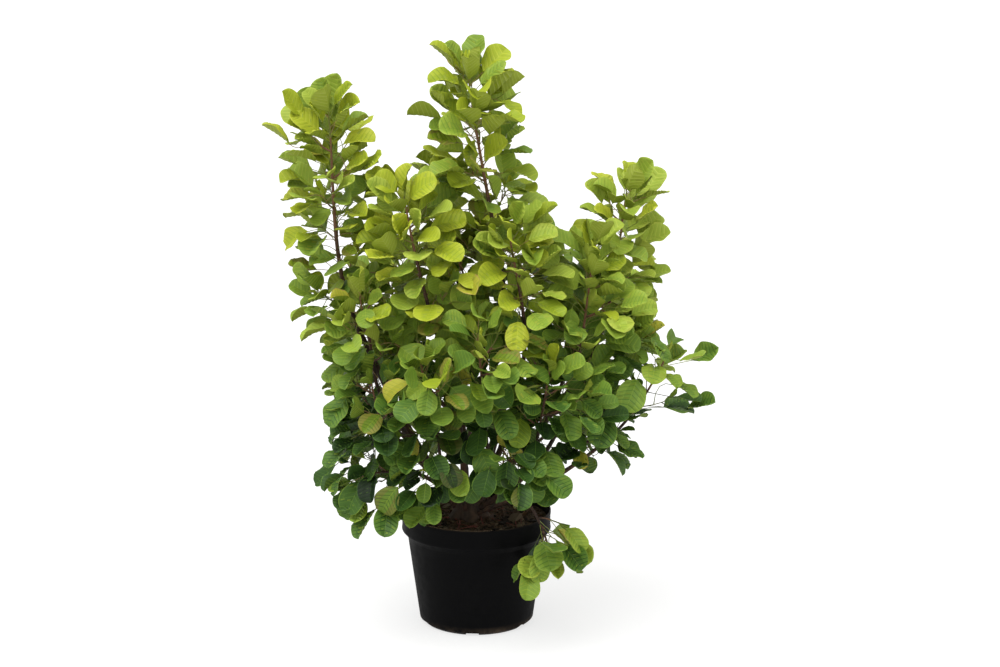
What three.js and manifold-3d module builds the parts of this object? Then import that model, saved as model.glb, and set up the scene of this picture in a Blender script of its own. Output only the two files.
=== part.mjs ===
// A smoke bush in a round nursery pot: many upright leafy shoots from one low stump.
// Millimetres, +Z up, origin at the middle of the pot's flat underside, front of the bush towards -Y.

import * as THREE from 'three';
import { mergeVertices } from 'three/addons/utils/BufferGeometryUtils.js';
import Module from 'manifold-3d';

const wasm = await Module();
wasm.setup();

// Driving sizes of the pot and the compost in it
const POT = {
  height: 223, rimRadius: 145, bandHeight: 38, bandStep: 9, shoulder: 14,
  footRadius: 110, footChamfer: 7, wall: 2.6, floor: 3.4, lipRound: 1.4, sides: 28,
};
const INNER_FOOT_Z = POT.floor + POT.footChamfer;
const DRAIN = { count: 6, width: 25, height: 8, depth: 17, proud: 2, turn: -4 };
const COMPOST = { edgeBelowRim: 20, crownRise: 7, crownRadius: 75, clearance: 0.4, sides: 20 };

// The stump stands on the compost and carries the main boughs, whose feet are sunk in it
const STUMP = {
  x: -15, y: -8, height: 44, topRadius: 25, waistRadius: 27, flareRadius: 39, flarePower: 2.4,
  lean: 4, lobes: 5, lobeDepth: 0.12, lobeTurn: 0.6, sides: 15, rings: 4,
  boughSunk: 12, boughInset: 0.55, crownInset: 0.1,
};

// Clearance where one wooden piece meets the next
const SEAM = 0.35;
// Corners that stand out less than this after a cut or a join are smoothed away
const TIDY = 0.08;
const WELD = 1e-4;
// The clearance tests see a limb as straight pieces, and a shoot's space by samples of its wood
const PIECES_PER_LIMB = 10;
const SAMPLE_STEP = 9;
const UP = new THREE.Vector3(0, 0, 1);
const GOLDEN_TURN = THREE.MathUtils.degToRad(137.5);

// A bough is a tapering limb. Main ones stand on the stump, side ones on another bough.
const MAIN_BOUGH = { sides: 6, steps: 5 };
const SIDE_BOUGH = { sides: 5, steps: 3 };
// A stem in its mass of leaves, and the side twigs that leave it between two shares of its length.
// bare is the share of each that carries no leaf. A twig bends out and ends at shares of its reach,
// counted sideways from its stem and along with it.
const STEM = { tip: 1.8, sides: 5, steps: 4, bare: 0.03, handle: 0.33 };
const TWIG = {
  foot: 2.5, tip: 1.6, sides: 3, steps: 2, bare: 0.3, from: 0.06, to: 0.9,
  reachShare: 0.42, footReach: 1.1, tipReach: 0.8, reachSpread: 0.4, turnSpread: 0.9,
  placeSpread: 0.4, bend: [0.5, 0.2], end: [0.78, 0.62], cuts: [1, 0.7, 0.45],
};

// One leaf: an obovate blade on a slim stalk, both a little larger than on the real bush. Leaves
// sit at turns of the golden angle, closer together and smaller towards the tip of their axis.
const LEAF = {
  length: 72, widthShare: 0.84, sizeSpread: 0.24, tipSize: 0.88, step: 17, gather: 0.85,
  outline: [[0.3, -0.4], [0.8, -0.47], [1, 0], [0.8, 0.47], [0.3, 0.4]],
  stalkShare: 0.55, stalkSpread: 0.5, stalkFoot: 1.1, stalkTip: 0.7, stalkBend: 1,
  turnSpread: 1.4, pitchSpread: 30, leastCount: 3, edge: 0.6,
};
// The stalk's three corners where it meets the blade, across it and above it, and its taper
const STALK = { corners: [[-1.4, 0.4], [1.4, 0.4], [0, -2]], footShare: 0.5, radius: 1.2 };
// Where a shoot is crowded, a leaf is tried again, each time held closer along its shoot
const TIGHT = { tries: 12, lift: 20, pitch: 78, stalkShare: 0.4, size: 0.82, turn: 2 };
// Blades turn their upper sides to the sky, outward from the bush, and to its lit front
const LIGHT = { sky: 0.5, outward: 0.4, front: 0.75, wander: 0.9, backFrom: 70 };
// Least gaps: from a blade to a bough, to its own shoot's wood and to another blade, from a twig to
// a bough, between the spaces of two shoots, and from leaves to the pot and the compost
const CLEAR = {
  bough: 1.6, ownWood: 1, blade: 0.8, twig: 6, space: 2.2,
  rim: 4, wall: 5, ground: 12, insideRim: 12, compost: 5,
};

// How leaves sit on a shoot: their pitch above level at its foot and its tip, how far they turn
// outward from the bush, their angle from the shoot at its foot and its tip, how far side twigs
// reach, and how much the shoot itself turns up at its tip
const HABITS = {
  column: { low: -16, high: 52, outward: 0.1, spread: 60, gather: 42, twigReach: 50, rise: 0.45 },
  spray: { low: -36, high: 34, outward: 0.3, spread: 66, gather: 34, twigReach: 80, rise: 0.45 },
  skirt: { low: -58, high: -24, outward: 0.6, spread: 70, gather: 46, twigReach: 66, rise: -0.25 },
};

// Boughs and the leafy shoots that they carry. A bough leaves the stump at a bearing and a height
// above the compost, or leaves another bough at a share of its length. It passes through via and
// ends at enter, where its shoot begins. The shoot runs on to tip.
const SHOOTS = [
  { name: 'left_column', bearing: 182, rise: 26, via: [-108, -16, 345], enter: [-222, -10, 580],
    tip: [-274, -12, 1000], girth: 11, thin: 5.2, habit: 'column', twigs: 6, seed: 14 },
  { name: 'tall_column', bearing: 60, rise: 44, via: [52, 6, 430], enter: [57, 0, 628],
    tip: [-14, 0, 1074], girth: 9.5, thin: 5, habit: 'column', twigs: 6, seed: 25 },
  { name: 'middle_left', bearing: 236, rise: 32, via: [-34, -52, 412], enter: [-74, -70, 592],
    tip: [-132, -70, 850], girth: 7.5, thin: 4.2, habit: 'column', twigs: 4, seed: 35 },
  { name: 'middle_back', bearing: 112, rise: 34, via: [-28, 62, 420], enter: [-34, 88, 620],
    tip: [-50, 92, 850], girth: 7, thin: 4, habit: 'column', twigs: 3, seed: 355 },
  { name: 'centre_front', bearing: 287, rise: 34, via: [62, -62, 400], enter: [92, -80, 560],
    tip: [62, -84, 800], girth: 6.5, thin: 4, habit: 'column', twigs: 4, seed: 63 },
  { name: 'right_back', bearing: 40, rise: 30, via: [122, 32, 372], enter: [212, 40, 500],
    tip: [286, 40, 836], girth: 7.5, thin: 4.2, habit: 'column', twigs: 5, seed: 67 },
  { name: 'right_front', bearing: 325, rise: 26, via: [92, -44, 300], enter: [150, -62, 386],
    tip: [222, -66, 752], girth: 7, thin: 4, habit: 'column', twigs: 5, seed: 380 },
  { name: 'low_right', bearing: 2, rise: 22, via: [118, -22, 272], enter: [242, -28, 360],
    tip: [362, -34, 536], girth: 6.5, thin: 3.4, habit: 'column', twigs: 0, seed: 85 },
  { name: 'left_shoulder', on: 'left_column', share: 0.5, via: [-168, -52, 440],
    enter: [-190, -72, 510], tip: [-216, -92, 670], girth: 5, thin: 3.4, habit: 'spray', twigs: 4,
    seed: 98 },
  { name: 'left_flank', on: 'left_column', share: 0.34, via: [-126, -84, 380],
    enter: [-150, -112, 410], tip: [-196, -140, 520], girth: 5, thin: 3.2, habit: 'spray',
    twigs: 4, seed: 415 },
  { name: 'left_low', on: 'left_column', share: 0.3, via: [-148, 8, 352], enter: [-186, 12, 386],
    tip: [-206, 14, 482], girth: 4.6, thin: 3, habit: 'spray', twigs: 3, seed: 117 },
  { name: 'left_skirt', on: 'left_column', share: 0.22, via: [-104, -74, 312],
    enter: [-142, -92, 326], tip: [-226, -112, 318], girth: 4.6, thin: 2.8, habit: 'skirt',
    twigs: 4, seed: 430 },
  { name: 'right_skirt', bearing: 303, rise: 10, via: [66, -92, 268], enter: [108, -128, 260],
    tip: [140, -156, 190], girth: 4.2, thin: 2.6, habit: 'skirt', twigs: 2, seed: 443 },
  { name: 'right_low', on: 'low_right', share: 0.4, via: [158, -56, 330],
    enter: [190, -74, 362], tip: [258, -94, 440], girth: 4, thin: 2.6, habit: 'spray', twigs: 3,
    seed: 151 },
  { name: 'front_left', on: 'middle_left', share: 0.4, via: [-58, -92, 350],
    enter: [-68, -112, 372], tip: [-100, -182, 560], girth: 5, thin: 3.2, habit: 'spray', twigs: 5,
    seed: 473 },
  { name: 'front_centre', on: 'centre_front', share: 0.4, via: [30, -92, 344],
    enter: [22, -112, 372], tip: [6, -184, 610], girth: 5, thin: 3.2, habit: 'spray', twigs: 5,
    seed: 165 },
  { name: 'front_right', on: 'right_front', share: 0.5, via: [104, -92, 346],
    enter: [110, -116, 372], tip: [138, -178, 560], girth: 5, thin: 3.2, habit: 'spray', twigs: 5,
    seed: 173 },
  { name: 'front_skirt_left', bearing: 258, rise: 18, via: [-36, -84, 296],
    enter: [-44, -112, 316], tip: [-92, -192, 360], girth: 5, thin: 3, habit: 'skirt', twigs: 4,
    seed: 490 },
  { name: 'front_skirt_right', on: 'centre_front', share: 0.2, via: [42, -94, 304],
    enter: [50, -118, 318], tip: [66, -200, 384], girth: 4.6, thin: 3, habit: 'skirt', twigs: 4,
    seed: 199 },
  { name: 'centre_left', on: 'tall_column', share: 0.62, via: [10, -26, 560],
    enter: [-4, -40, 592], tip: [-34, -56, 742], girth: 4.8, thin: 3.2, habit: 'spray', twigs: 3,
    seed: 507 },
  { name: 'right_shoulder', on: 'right_back', share: 0.62, via: [212, 0, 440],
    enter: [232, -14, 466], tip: [284, -34, 612], girth: 4.8, thin: 3, habit: 'spray', twigs: 4,
    seed: 203 },
  { name: 'back_left', on: 'middle_back', share: 0.42, via: [-84, 112, 420],
    enter: [-108, 136, 462], tip: [-176, 176, 640], girth: 5.4, thin: 3.4, habit: 'spray',
    twigs: 3, seed: 209 },
  { name: 'back_centre', on: 'tall_column', share: 0.4, via: [62, 84, 440],
    enter: [60, 112, 492], tip: [52, 196, 706], girth: 5.4, thin: 3.4, habit: 'spray', twigs: 3,
    seed: 211 },
  { name: 'back_right', on: 'right_back', share: 0.52, via: [158, 92, 422],
    enter: [172, 116, 462], tip: [214, 176, 630], girth: 5.2, thin: 3.2, habit: 'spray', twigs: 3,
    seed: 223 },
  { name: 'back_skirt_left', on: 'left_column', share: 0.2, via: [-110, 72, 318],
    enter: [-138, 98, 334], tip: [-212, 158, 368], girth: 4.8, thin: 3, habit: 'skirt', twigs: 2,
    seed: 235 },
  { name: 'back_skirt', on: 'middle_back', share: 0.2, via: [-16, 106, 330],
    enter: [-12, 136, 348], tip: [0, 224, 386], girth: 4.8, thin: 3, habit: 'skirt', twigs: 2,
    seed: 247 },
  { name: 'back_skirt_right', on: 'right_back', share: 0.28, via: [116, 88, 328],
    enter: [142, 114, 342], tip: [214, 166, 372], girth: 4.8, thin: 3, habit: 'skirt', twigs: 2,
    seed: 259 },
];

// Finishes, as seen on the bush
const FINISH = {
  pot: { color: 0x17181a, roughness: 0.55, metalness: 0 },
  compost: { color: 0x3a2c22, roughness: 1, metalness: 0 },
  bark: { color: 0x5a4638, roughness: 0.85, metalness: 0 },
  leafHigh: { color: 0x93aa2e, roughness: 0.6, metalness: 0 },
  leafLow: { color: 0x4c7a24, roughness: 0.6, metalness: 0 },
};

const point = (values) => new THREE.Vector3(...values);
const blend = THREE.MathUtils.lerp;
const radians = THREE.MathUtils.degToRad;
// A random amount, as much either side of nothing
const either = (random, range) => range * (random() - 0.5);

// Even random numbers from 0 to 1, the same for the same seed
function seededRandom(seed) {
  let state = seed >>> 0;
  return () => {
    state = (state + 0x6d2b79f5) >>> 0;
    let mixed = Math.imul(state ^ (state >>> 15), state | 1);
    mixed ^= mixed + Math.imul(mixed ^ (mixed >>> 7), mixed | 61);
    return ((mixed ^ (mixed >>> 14)) >>> 0) / 4294967296;
  };
}

// A closed three.js geometry as a solid that can be joined and cut
function toSolid(geometry) {
  const bare = new THREE.BufferGeometry();
  const source = geometry.index ? geometry.toNonIndexed() : geometry;
  bare.setAttribute('position', source.getAttribute('position').clone());
  const merged = mergeVertices(bare, WELD);
  return new wasm.Manifold(new wasm.Mesh({
    numProp: 3,
    vertProperties: new Float32Array(merged.getAttribute('position').array),
    triVerts: new Uint32Array(merged.index.array),
  }));
}

// The largest piece of a joined or cut solid, without the small steps that the joins leave
function tidied(solid) {
  const pieces = solid.asOriginal().simplify(TIDY).decompose();
  return pieces.reduce((best, piece) => (piece.volume() > best.volume() ? piece : best));
}

// A solid back as a three.js geometry with flat faces
function toGeometry(solid) {
  const mesh = solid.getMesh();
  const places = new Float32Array(mesh.numVert * 3);
  for (let i = 0; i < mesh.numVert; i += 1) {
    places.set(mesh.vertProperties.subarray(i * mesh.numProp, i * mesh.numProp + 3), i * 3);
  }
  const geometry = new THREE.BufferGeometry();
  geometry.setAttribute('position', new THREE.BufferAttribute(places, 3));
  geometry.setIndex(new THREE.BufferAttribute(new Uint32Array(mesh.triVerts), 1));
  const flat = geometry.toNonIndexed();
  flat.computeVertexNormals();
  return flat;
}

function namedMesh(name, solid, finish) {
  const mesh = new THREE.Mesh(toGeometry(solid), new THREE.MeshStandardMaterial(finish));
  mesh.name = name;
  return mesh;
}

// The pot's outer radius at a height above its underside
function potRadiusAt(z) {
  const bandFoot = POT.height - POT.bandHeight;
  if (z >= bandFoot) return POT.rimRadius;
  const wallTop = bandFoot - POT.shoulder;
  const wallTopRadius = POT.rimRadius - POT.bandStep - POT.wall;
  if (z >= wallTop) return blend(wallTopRadius, POT.rimRadius, (z - wallTop) / POT.shoulder);
  return blend(POT.footRadius, wallTopRadius, Math.max(z, 0) / wallTop);
}

// A turned shell with a band under its rim, and drain notches cut through the edge of its foot
function potSolid() {
  const bandFoot = POT.height - POT.bandHeight;
  const heights = [bandFoot - POT.shoulder, bandFoot, POT.height - POT.lipRound];
  const outside = [POT.footChamfer, ...heights].map((z) => [potRadiusAt(z), z]);
  const inside = [INNER_FOOT_Z, ...heights].map((z) => [potRadiusAt(z) - POT.wall, z]).reverse();
  const profile = [
    [0, 0], [POT.footRadius - POT.footChamfer, 0], ...outside,
    [POT.rimRadius - POT.wall / 2, POT.height],
    ...inside, [potRadiusAt(INNER_FOOT_Z) - POT.wall - POT.footChamfer, POT.floor], [0, POT.floor],
  ];
  const lathe = new THREE.LatheGeometry(profile.map(([r, z]) => new THREE.Vector2(r, z)), POT.sides);
  lathe.rotateX(Math.PI / 2);
  const notches = Array.from({ length: DRAIN.count }, (_, i) => {
    const turn = radians(DRAIN.turn + (360 / DRAIN.count) * i - 90);
    const reach = POT.footRadius - DRAIN.depth / 2 + DRAIN.proud;
    const box = new THREE.BoxGeometry(DRAIN.depth, DRAIN.width, 2 * DRAIN.height);
    box.translate(reach, 0, 0).rotateZ(turn);
    return toSolid(box);
  });
  return toSolid(lathe).subtract(wasm.Manifold.union(notches));
}

const COMPOST_EDGE_Z = POT.height - COMPOST.edgeBelowRim;
const COMPOST_CROWN_Z = COMPOST_EDGE_Z + COMPOST.crownRise;

// The compost fills the pot and rises a little round the stump, where it is flat
function compostSolid() {
  const foot = POT.floor + COMPOST.clearance;
  const wallTop = POT.height - POT.bandHeight - POT.shoulder;
  const grow = Math.cos(Math.PI / POT.sides);
  const inner = (z) => (potRadiusAt(z) - POT.wall) * grow - COMPOST.clearance;
  const profile = [
    [0, foot], [inner(foot) - POT.footChamfer - 1, foot], [inner(INNER_FOOT_Z), INNER_FOOT_Z + 1],
    [inner(wallTop), wallTop], [inner(COMPOST_EDGE_Z - 1) - 1, COMPOST_EDGE_Z],
    [COMPOST.crownRadius, COMPOST_CROWN_Z], [0, COMPOST_CROWN_Z],
  ];
  const lathe = new THREE.LatheGeometry(
    profile.map(([r, z]) => new THREE.Vector2(r, z)), COMPOST.sides);
  return toSolid(lathe.rotateX(Math.PI / 2));
}

const STUMP_FOOT_Z = COMPOST_CROWN_Z + SEAM;

// The stump's middle at a height above the compost
function stumpMiddle(rise) {
  const lean = STUMP.lean * (rise / STUMP.height);
  return new THREE.Vector3(STUMP.x + lean, STUMP.y, STUMP_FOOT_Z + rise);
}

// The stump flares into lobes at the compost and narrows to its waist. grow adds to it all round.
function stumpSolid(grow = 0) {
  const body = new THREE.CylinderGeometry(1, 1, 1, STUMP.sides, STUMP.rings);
  body.rotateX(Math.PI / 2).translate(0, 0, 0.5);
  const places = body.getAttribute('position');
  for (let i = 0; i < places.count; i += 1) {
    const spot = new THREE.Vector3().fromBufferAttribute(places, i);
    const rise = spot.z;
    const flare = (1 - rise) ** STUMP.flarePower;
    const bearing = Math.atan2(spot.y, spot.x);
    const wave = Math.cos(STUMP.lobes * bearing + STUMP.lobeTurn);
    const lobe = 1 + STUMP.lobeDepth * (0.4 + flare) * wave;
    const plain = blend(STUMP.waistRadius, STUMP.topRadius, rise);
    const radius = (plain + (STUMP.flareRadius - plain) * flare) * lobe + grow;
    const middle = stumpMiddle(rise * STUMP.height);
    const ring = Math.hypot(spot.x, spot.y) * radius;
    places.setXYZ(i, middle.x + ring * Math.cos(bearing), middle.y + ring * Math.sin(bearing),
      middle.z + (rise > 0.5 ? grow : 0));
  }
  return toSolid(body);
}

// A limb: a cylinder drawn out along a curve, thinner towards its tip. grow adds to its radius.
function limbSolid(curve, foot, tip, sides, steps, grow = 0) {
  const body = new THREE.CylinderGeometry(1, 1, 1, sides, steps);
  body.rotateX(Math.PI / 2).translate(0, 0, 0.5);
  const frames = limbFrames(curve, steps);
  const places = body.getAttribute('position');
  for (let i = 0; i < places.count; i += 1) {
    const { middle, across, over, share } = frames[Math.round(places.getZ(i) * steps)];
    const radius = blend(foot, tip, share) + grow;
    const spot = middle.clone()
      .addScaledVector(across, places.getX(i) * radius)
      .addScaledVector(over, places.getY(i) * radius);
    places.setXYZ(i, spot.x, spot.y, spot.z);
  }
  return toSolid(body);
}

// Cross-section frames along a curve, turned as little as possible from one to the next
function limbFrames(curve, steps) {
  const frames = [];
  let across = null;
  for (let i = 0; i <= steps; i += 1) {
    const along = curve.getTangent(i / steps);
    const guide = across ?? (Math.abs(along.x) < 0.8 ? new THREE.Vector3(1, 0, 0) : UP.clone());
    across = guide.clone().addScaledVector(along, -guide.dot(along)).normalize();
    const over = along.clone().cross(across);
    frames.push({ middle: curve.getPoint(i / steps), across, over, share: i / steps });
  }
  return frames;
}

// The middle of a drawn-out limb, which runs straight from each of its sections to the next
function pointOnLimb({ curve, steps }, share) {
  const section = Math.min(Math.floor(share * steps), steps - 1);
  return curve.getPoint(section / steps)
    .lerp(curve.getPoint((section + 1) / steps), share * steps - section);
}

// A curve as short straight pieces with the limb's radius, for the clearance tests
function piecesOf(curve, foot, tip, count) {
  return Array.from({ length: count }, (_, i) => ({
    from: curve.getPoint(i / count),
    to: curve.getPoint((i + 1) / count),
    radius: blend(foot, tip, i / count),
  }));
}

// An arc from foot to enter that passes through via at its middle
function boughCurve(foot, via, enter) {
  const handle = via.clone().multiplyScalar(2).addScaledVector(foot, -0.5)
    .addScaledVector(enter, -0.5);
  return new THREE.QuadraticBezierCurve3(foot, handle, enter);
}

// The curve of a shoot's stem, which carries on from its bough and turns up towards its tip
function stemCurve(bough, tip, habit) {
  const heading = bough.getTangent(1);
  const start = bough.getPoint(1).addScaledVector(heading, SEAM);
  const reach = tip.distanceTo(start);
  const finish = tip.clone().sub(start).normalize().addScaledVector(UP, habit.rise).normalize();
  return new THREE.CubicBezierCurve3(
    start, start.clone().addScaledVector(heading, reach * STEM.handle),
    tip.clone().addScaledVector(finish, -reach * STEM.handle), tip);
}

// Works out every bough and the stem of the shoot that it carries
function growBoughs() {
  const boughs = new Map();
  for (const shoot of SHOOTS) {
    const via = point(shoot.via);
    const enter = point(shoot.enter);
    let foot;
    if (shoot.on) {
      foot = boughs.get(shoot.on).curve.getPoint(shoot.share);
    } else {
      const bearing = radians(shoot.bearing);
      foot = stumpMiddle(shoot.rise - STUMP.boughSunk);
      const inset = shoot.rise >= STUMP.height ? STUMP.crownInset : STUMP.boughInset;
      foot.x += inset * STUMP.topRadius * Math.cos(bearing);
      foot.y += inset * STUMP.topRadius * Math.sin(bearing);
    }
    const curve = boughCurve(foot, via, enter);
    const stem = stemCurve(curve, point(shoot.tip), HABITS[shoot.habit]);
    boughs.set(shoot.name, { ...shoot, curve, stem });
  }
  return boughs;
}

// A stem's side twigs leave it by turns of the golden angle, each shorter towards the tip. One
// that does not fit its shoot's space is tried shorter, and then left out.
function growTwigs(bough, fits) {
  const random = seededRandom(bough.seed);
  const length = bough.stem.getLength();
  const twigs = [];
  const longest = Math.min(TWIG.reachShare * length, HABITS[bough.habit].twigReach);
  for (let i = 0; i < bough.twigs; i += 1) {
    const place = (i + 0.5 + either(random, TWIG.placeSpread)) / bough.twigs;
    const share = blend(TWIG.from, TWIG.to, place);
    const start = pointOnLimb({ curve: bough.stem, steps: STEM.steps }, share);
    const along = bough.stem.getTangent(share);
    const side = sideways(along, i * GOLDEN_TURN + random() * TWIG.turnSpread + bough.seed);
    const reach = longest * blend(TWIG.footReach, TWIG.tipReach, share)
      * (1 + either(random, TWIG.reachSpread));
    const twig = TWIG.cuts.map((cut) => twigCurve(start, along, side, reach * cut)).find(fits);
    if (twig) twigs.push(twig);
  }
  return twigs;
}

// A twig leaves its stem sideways and then bends to run along with it
function twigCurve(start, along, side, reach) {
  const at = ([out, on]) => start.clone().addScaledVector(side, reach * out)
    .addScaledVector(along, reach * on);
  return new THREE.QuadraticBezierCurve3(start, at(TWIG.bend), at(TWIG.end));
}

// A direction square to along, at a turn round it
function sideways(along, turn) {
  const guide = Math.abs(along.z) < 0.95 ? UP : new THREE.Vector3(1, 0, 0);
  const across = along.clone().cross(guide).normalize();
  const over = along.clone().cross(across);
  return across.multiplyScalar(Math.cos(turn)).addScaledVector(over, Math.sin(turn));
}

// Where the i-th of count leaves on an axis would sit, and how it is held. squeeze from 0 to 1
// holds it closer along the axis.
function placeLeaf(axis, i, count, habit, squeeze, random) {
  const progress = (i + 0.6) / count;
  const share = axis.bare + (1 - axis.bare) * progress ** LEAF.gather;
  const root = pointOnLimb(axis, share);
  const along = axis.curve.getTangent(share);
  const turn = i * GOLDEN_TURN + axis.turn + either(random, LEAF.turnSpread) + TIGHT.turn * squeeze;
  const side = sideways(along, turn);
  const size = (1 + either(random, LEAF.sizeSpread)) * blend(1, LEAF.tipSize, progress ** 3);
  const length = LEAF.length * size * blend(1, TIGHT.size, squeeze);
  const stalk = length * LEAF.stalkShare * (1 + either(random, LEAF.stalkSpread))
    * blend(LEAF.stalkFoot, LEAF.stalkTip, progress) * blend(1, TIGHT.stalkShare, squeeze);
  const free = blend(habit.spread, habit.gather, progress ** 2);
  const heading = tilted(along, side, radians(blend(free, TIGHT.lift, squeeze)));
  const outward = new THREE.Vector3(root.x - STUMP.x, root.y - STUMP.y, 0).normalize();
  const level = heading.clone().setZ(0).normalize()
    .addScaledVector(outward, habit.outward).normalize();
  const natural = blend(habit.low, habit.high, progress ** 1.4) + either(random, LEAF.pitchSpread);
  const pitch = blend(natural, Math.sign(natural) * TIGHT.pitch, squeeze);
  const blade = tilted(level, UP, radians(pitch));
  const base = root.clone()
    .addScaledVector(heading.addScaledVector(blade, LEAF.stalkBend).normalize(), stalk);
  const light = towardsLight(root, outward, random);
  const normal = light.addScaledVector(blade, -light.dot(blade)).normalize();
  return leafPlate(root, base, blade, normal, length, length * LEAF.widthShare);
}

// A direction turned from one towards another that is square to it
function tilted(from, towards, angle) {
  return from.clone().multiplyScalar(Math.cos(angle)).addScaledVector(towards, Math.sin(angle));
}

// Where the upper side of a leaf rooted at root would turn
function towardsLight(root, outward, random) {
  const light = UP.clone().multiplyScalar(LIGHT.sky).addScaledVector(outward, LIGHT.outward);
  light.y -= root.y < LIGHT.backFrom ? LIGHT.front : 0;
  light.x += either(random, LIGHT.wander);
  light.y += either(random, LIGHT.wander);
  light.z += either(random, LIGHT.wander);
  return light;
}

// A leaf as its outline points and the flat plate that the clearance tests use
function leafPlate(root, base, along, normal, length, width) {
  const across = normal.clone().cross(along).normalize();
  const at = (u, v) => base.clone().addScaledVector(along, u * length)
    .addScaledVector(across, v * width);
  const outline = LEAF.outline.map(([u, v]) => at(u, v));
  return { root, base, along, across, normal, length, width, outline, middle: at(0.5, 0) };
}

// The leaf's edges, middle line and stalk as straight pieces
function leafPieces(leaf) {
  const rim = [leaf.base, ...leaf.outline];
  const edges = rim.map((from, i) => ({ from, to: rim[(i + 1) % rim.length], radius: LEAF.edge }));
  return [...edges, { from: leaf.base, to: leaf.outline[2], radius: LEAF.edge },
    { from: leaf.root, to: leaf.base, radius: STALK.radius }];
}

// Whether a round straight piece comes within clearance of a leaf's blade
function bladeMeets(leaf, piece, clearance) {
  const near = piece.radius + clearance;
  const from = piece.from.clone().sub(leaf.middle);
  const to = piece.to.clone().sub(leaf.middle);
  const reach = leaf.length + near;
  if (from.lengthSq() > reach * reach && to.lengthSq() > reach * reach) {
    if (distanceToPiece(leaf.middle, piece) > reach) return false;
  }
  const a = from.dot(leaf.normal);
  const b = to.dot(leaf.normal);
  const shares = [0, 0.5, 1];
  if (a * b < 0) shares.push(a / (a - b));
  return shares.some((share) => {
    if (Math.abs(blend(a, b, share)) > near) return false;
    const spot = from.clone().lerp(to, share);
    const u = spot.dot(leaf.along) / (leaf.length / 2 + near);
    const v = spot.dot(leaf.across) / (leaf.width / 2 + near);
    return u * u + v * v < 1;
  });
}

// How far a spot is from the middle line of a straight piece
function distanceToPiece(spot, piece) {
  const line = new THREE.Line3(piece.from, piece.to);
  return line.closestPointToPoint(spot, true, new THREE.Vector3()).distanceTo(spot);
}

// The shortest distance between two straight pieces, sampled along the first
function pieceGap(first, second) {
  let least = Infinity;
  for (let i = 0; i <= 6; i += 1) {
    const spot = first.from.clone().lerp(first.to, i / 6);
    least = Math.min(least, distanceToPiece(spot, second));
  }
  return least - first.radius - second.radius;
}

// Whether a spot is clear of the pot's wall and rim and of the compost
function clearOfPot(spot) {
  const radius = Math.hypot(spot.x, spot.y);
  if (spot.z > POT.height + CLEAR.rim) return true;
  if (radius > potRadiusAt(spot.z) + CLEAR.wall) return spot.z > CLEAR.ground;
  return radius < POT.rimRadius - CLEAR.insideRim && spot.z > COMPOST_CROWN_Z + CLEAR.compost;
}

// Each shoot owns the space that lies nearer to its own stem and twigs than to any other's
function ownsSpot(name, axes, spot) {
  let own = Infinity;
  let other = Infinity;
  for (const axis of axes) {
    for (const sample of axis.samples) {
      const gap = sample.distanceTo(spot);
      if (axis.shoot === name) own = Math.min(own, gap);
      else other = Math.min(other, gap);
    }
  }
  return own + CLEAR.space < other;
}

// A stem or a twig that can carry leaves
function makeAxis(shoot, curve, { foot, tip, sides, steps, bare }, turn) {
  const count = Math.max(2, Math.round(curve.getLength() / SAMPLE_STEP));
  return {
    shoot, curve, foot, tip, sides, steps, bare, turn,
    samples: curve.getPoints(count),
    pieces: piecesOf(curve, foot, tip, PIECES_PER_LIMB),
  };
}

// A twig stays if its far half lies in its shoot's own space and clear of every bough
function twigFits(twig, name, stems, limbs) {
  const far = twig.getPoints(6).slice(2);
  return far.every((spot) => ownsSpot(name, stems, spot) && clearOfPot(spot)
    && limbs.every((piece) => distanceToPiece(spot, piece) > piece.radius + CLEAR.twig));
}

// A leaf stays if it keeps to its shoot's space and touches no limb, pot, stem or earlier leaf
function leafFits(leaf, axis, axes, limbs, placed) {
  const spots = [leaf.base, leaf.middle, ...leaf.outline];
  if (!spots.every((spot) => clearOfPot(spot) && ownsSpot(axis.shoot, axes, spot))) return false;
  if (limbs.some((piece) => bladeMeets(leaf, piece, CLEAR.bough))) return false;
  const stalk = { from: leaf.root.clone().lerp(leaf.base, 0.3), to: leaf.base,
    radius: STALK.radius };
  if (limbs.some((piece) => pieceGap(stalk, piece) < CLEAR.bough)) return false;
  const wood = axes.filter((other) => other.shoot === axis.shoot).flatMap((own) => own.pieces);
  if (wood.some((piece) => bladeMeets(leaf, piece, CLEAR.ownWood))) return false;
  const pieces = leafPieces(leaf);
  const meets = (blade, others) => others.some((piece) => bladeMeets(blade, piece, CLEAR.blade));
  return !placed.some((other) => other.middle.distanceTo(leaf.middle) < 2.4 * LEAF.length
    && (meets(other, pieces) || meets(leaf, leafPieces(other))));
}

// All the leaves on one shoot's stem and twigs
function growLeaves(bough, axes, limbs) {
  const random = seededRandom(bough.seed * 7919);
  const habit = HABITS[bough.habit];
  const placed = [];
  for (const axis of axes.filter((one) => one.shoot === bough.name)) {
    const length = axis.curve.getLength() * (1 - axis.bare);
    const count = Math.max(LEAF.leastCount, Math.round(length / LEAF.step));
    for (let i = 0; i < count; i += 1) {
      for (let attempt = 0; attempt < TIGHT.tries; attempt += 1) {
        const leaf = placeLeaf(axis, i, count, habit, attempt / (TIGHT.tries - 1), random);
        if (!leafFits(leaf, axis, axes, limbs, placed)) continue;
        placed.push(leaf);
        break;
      }
    }
  }
  return placed;
}

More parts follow.
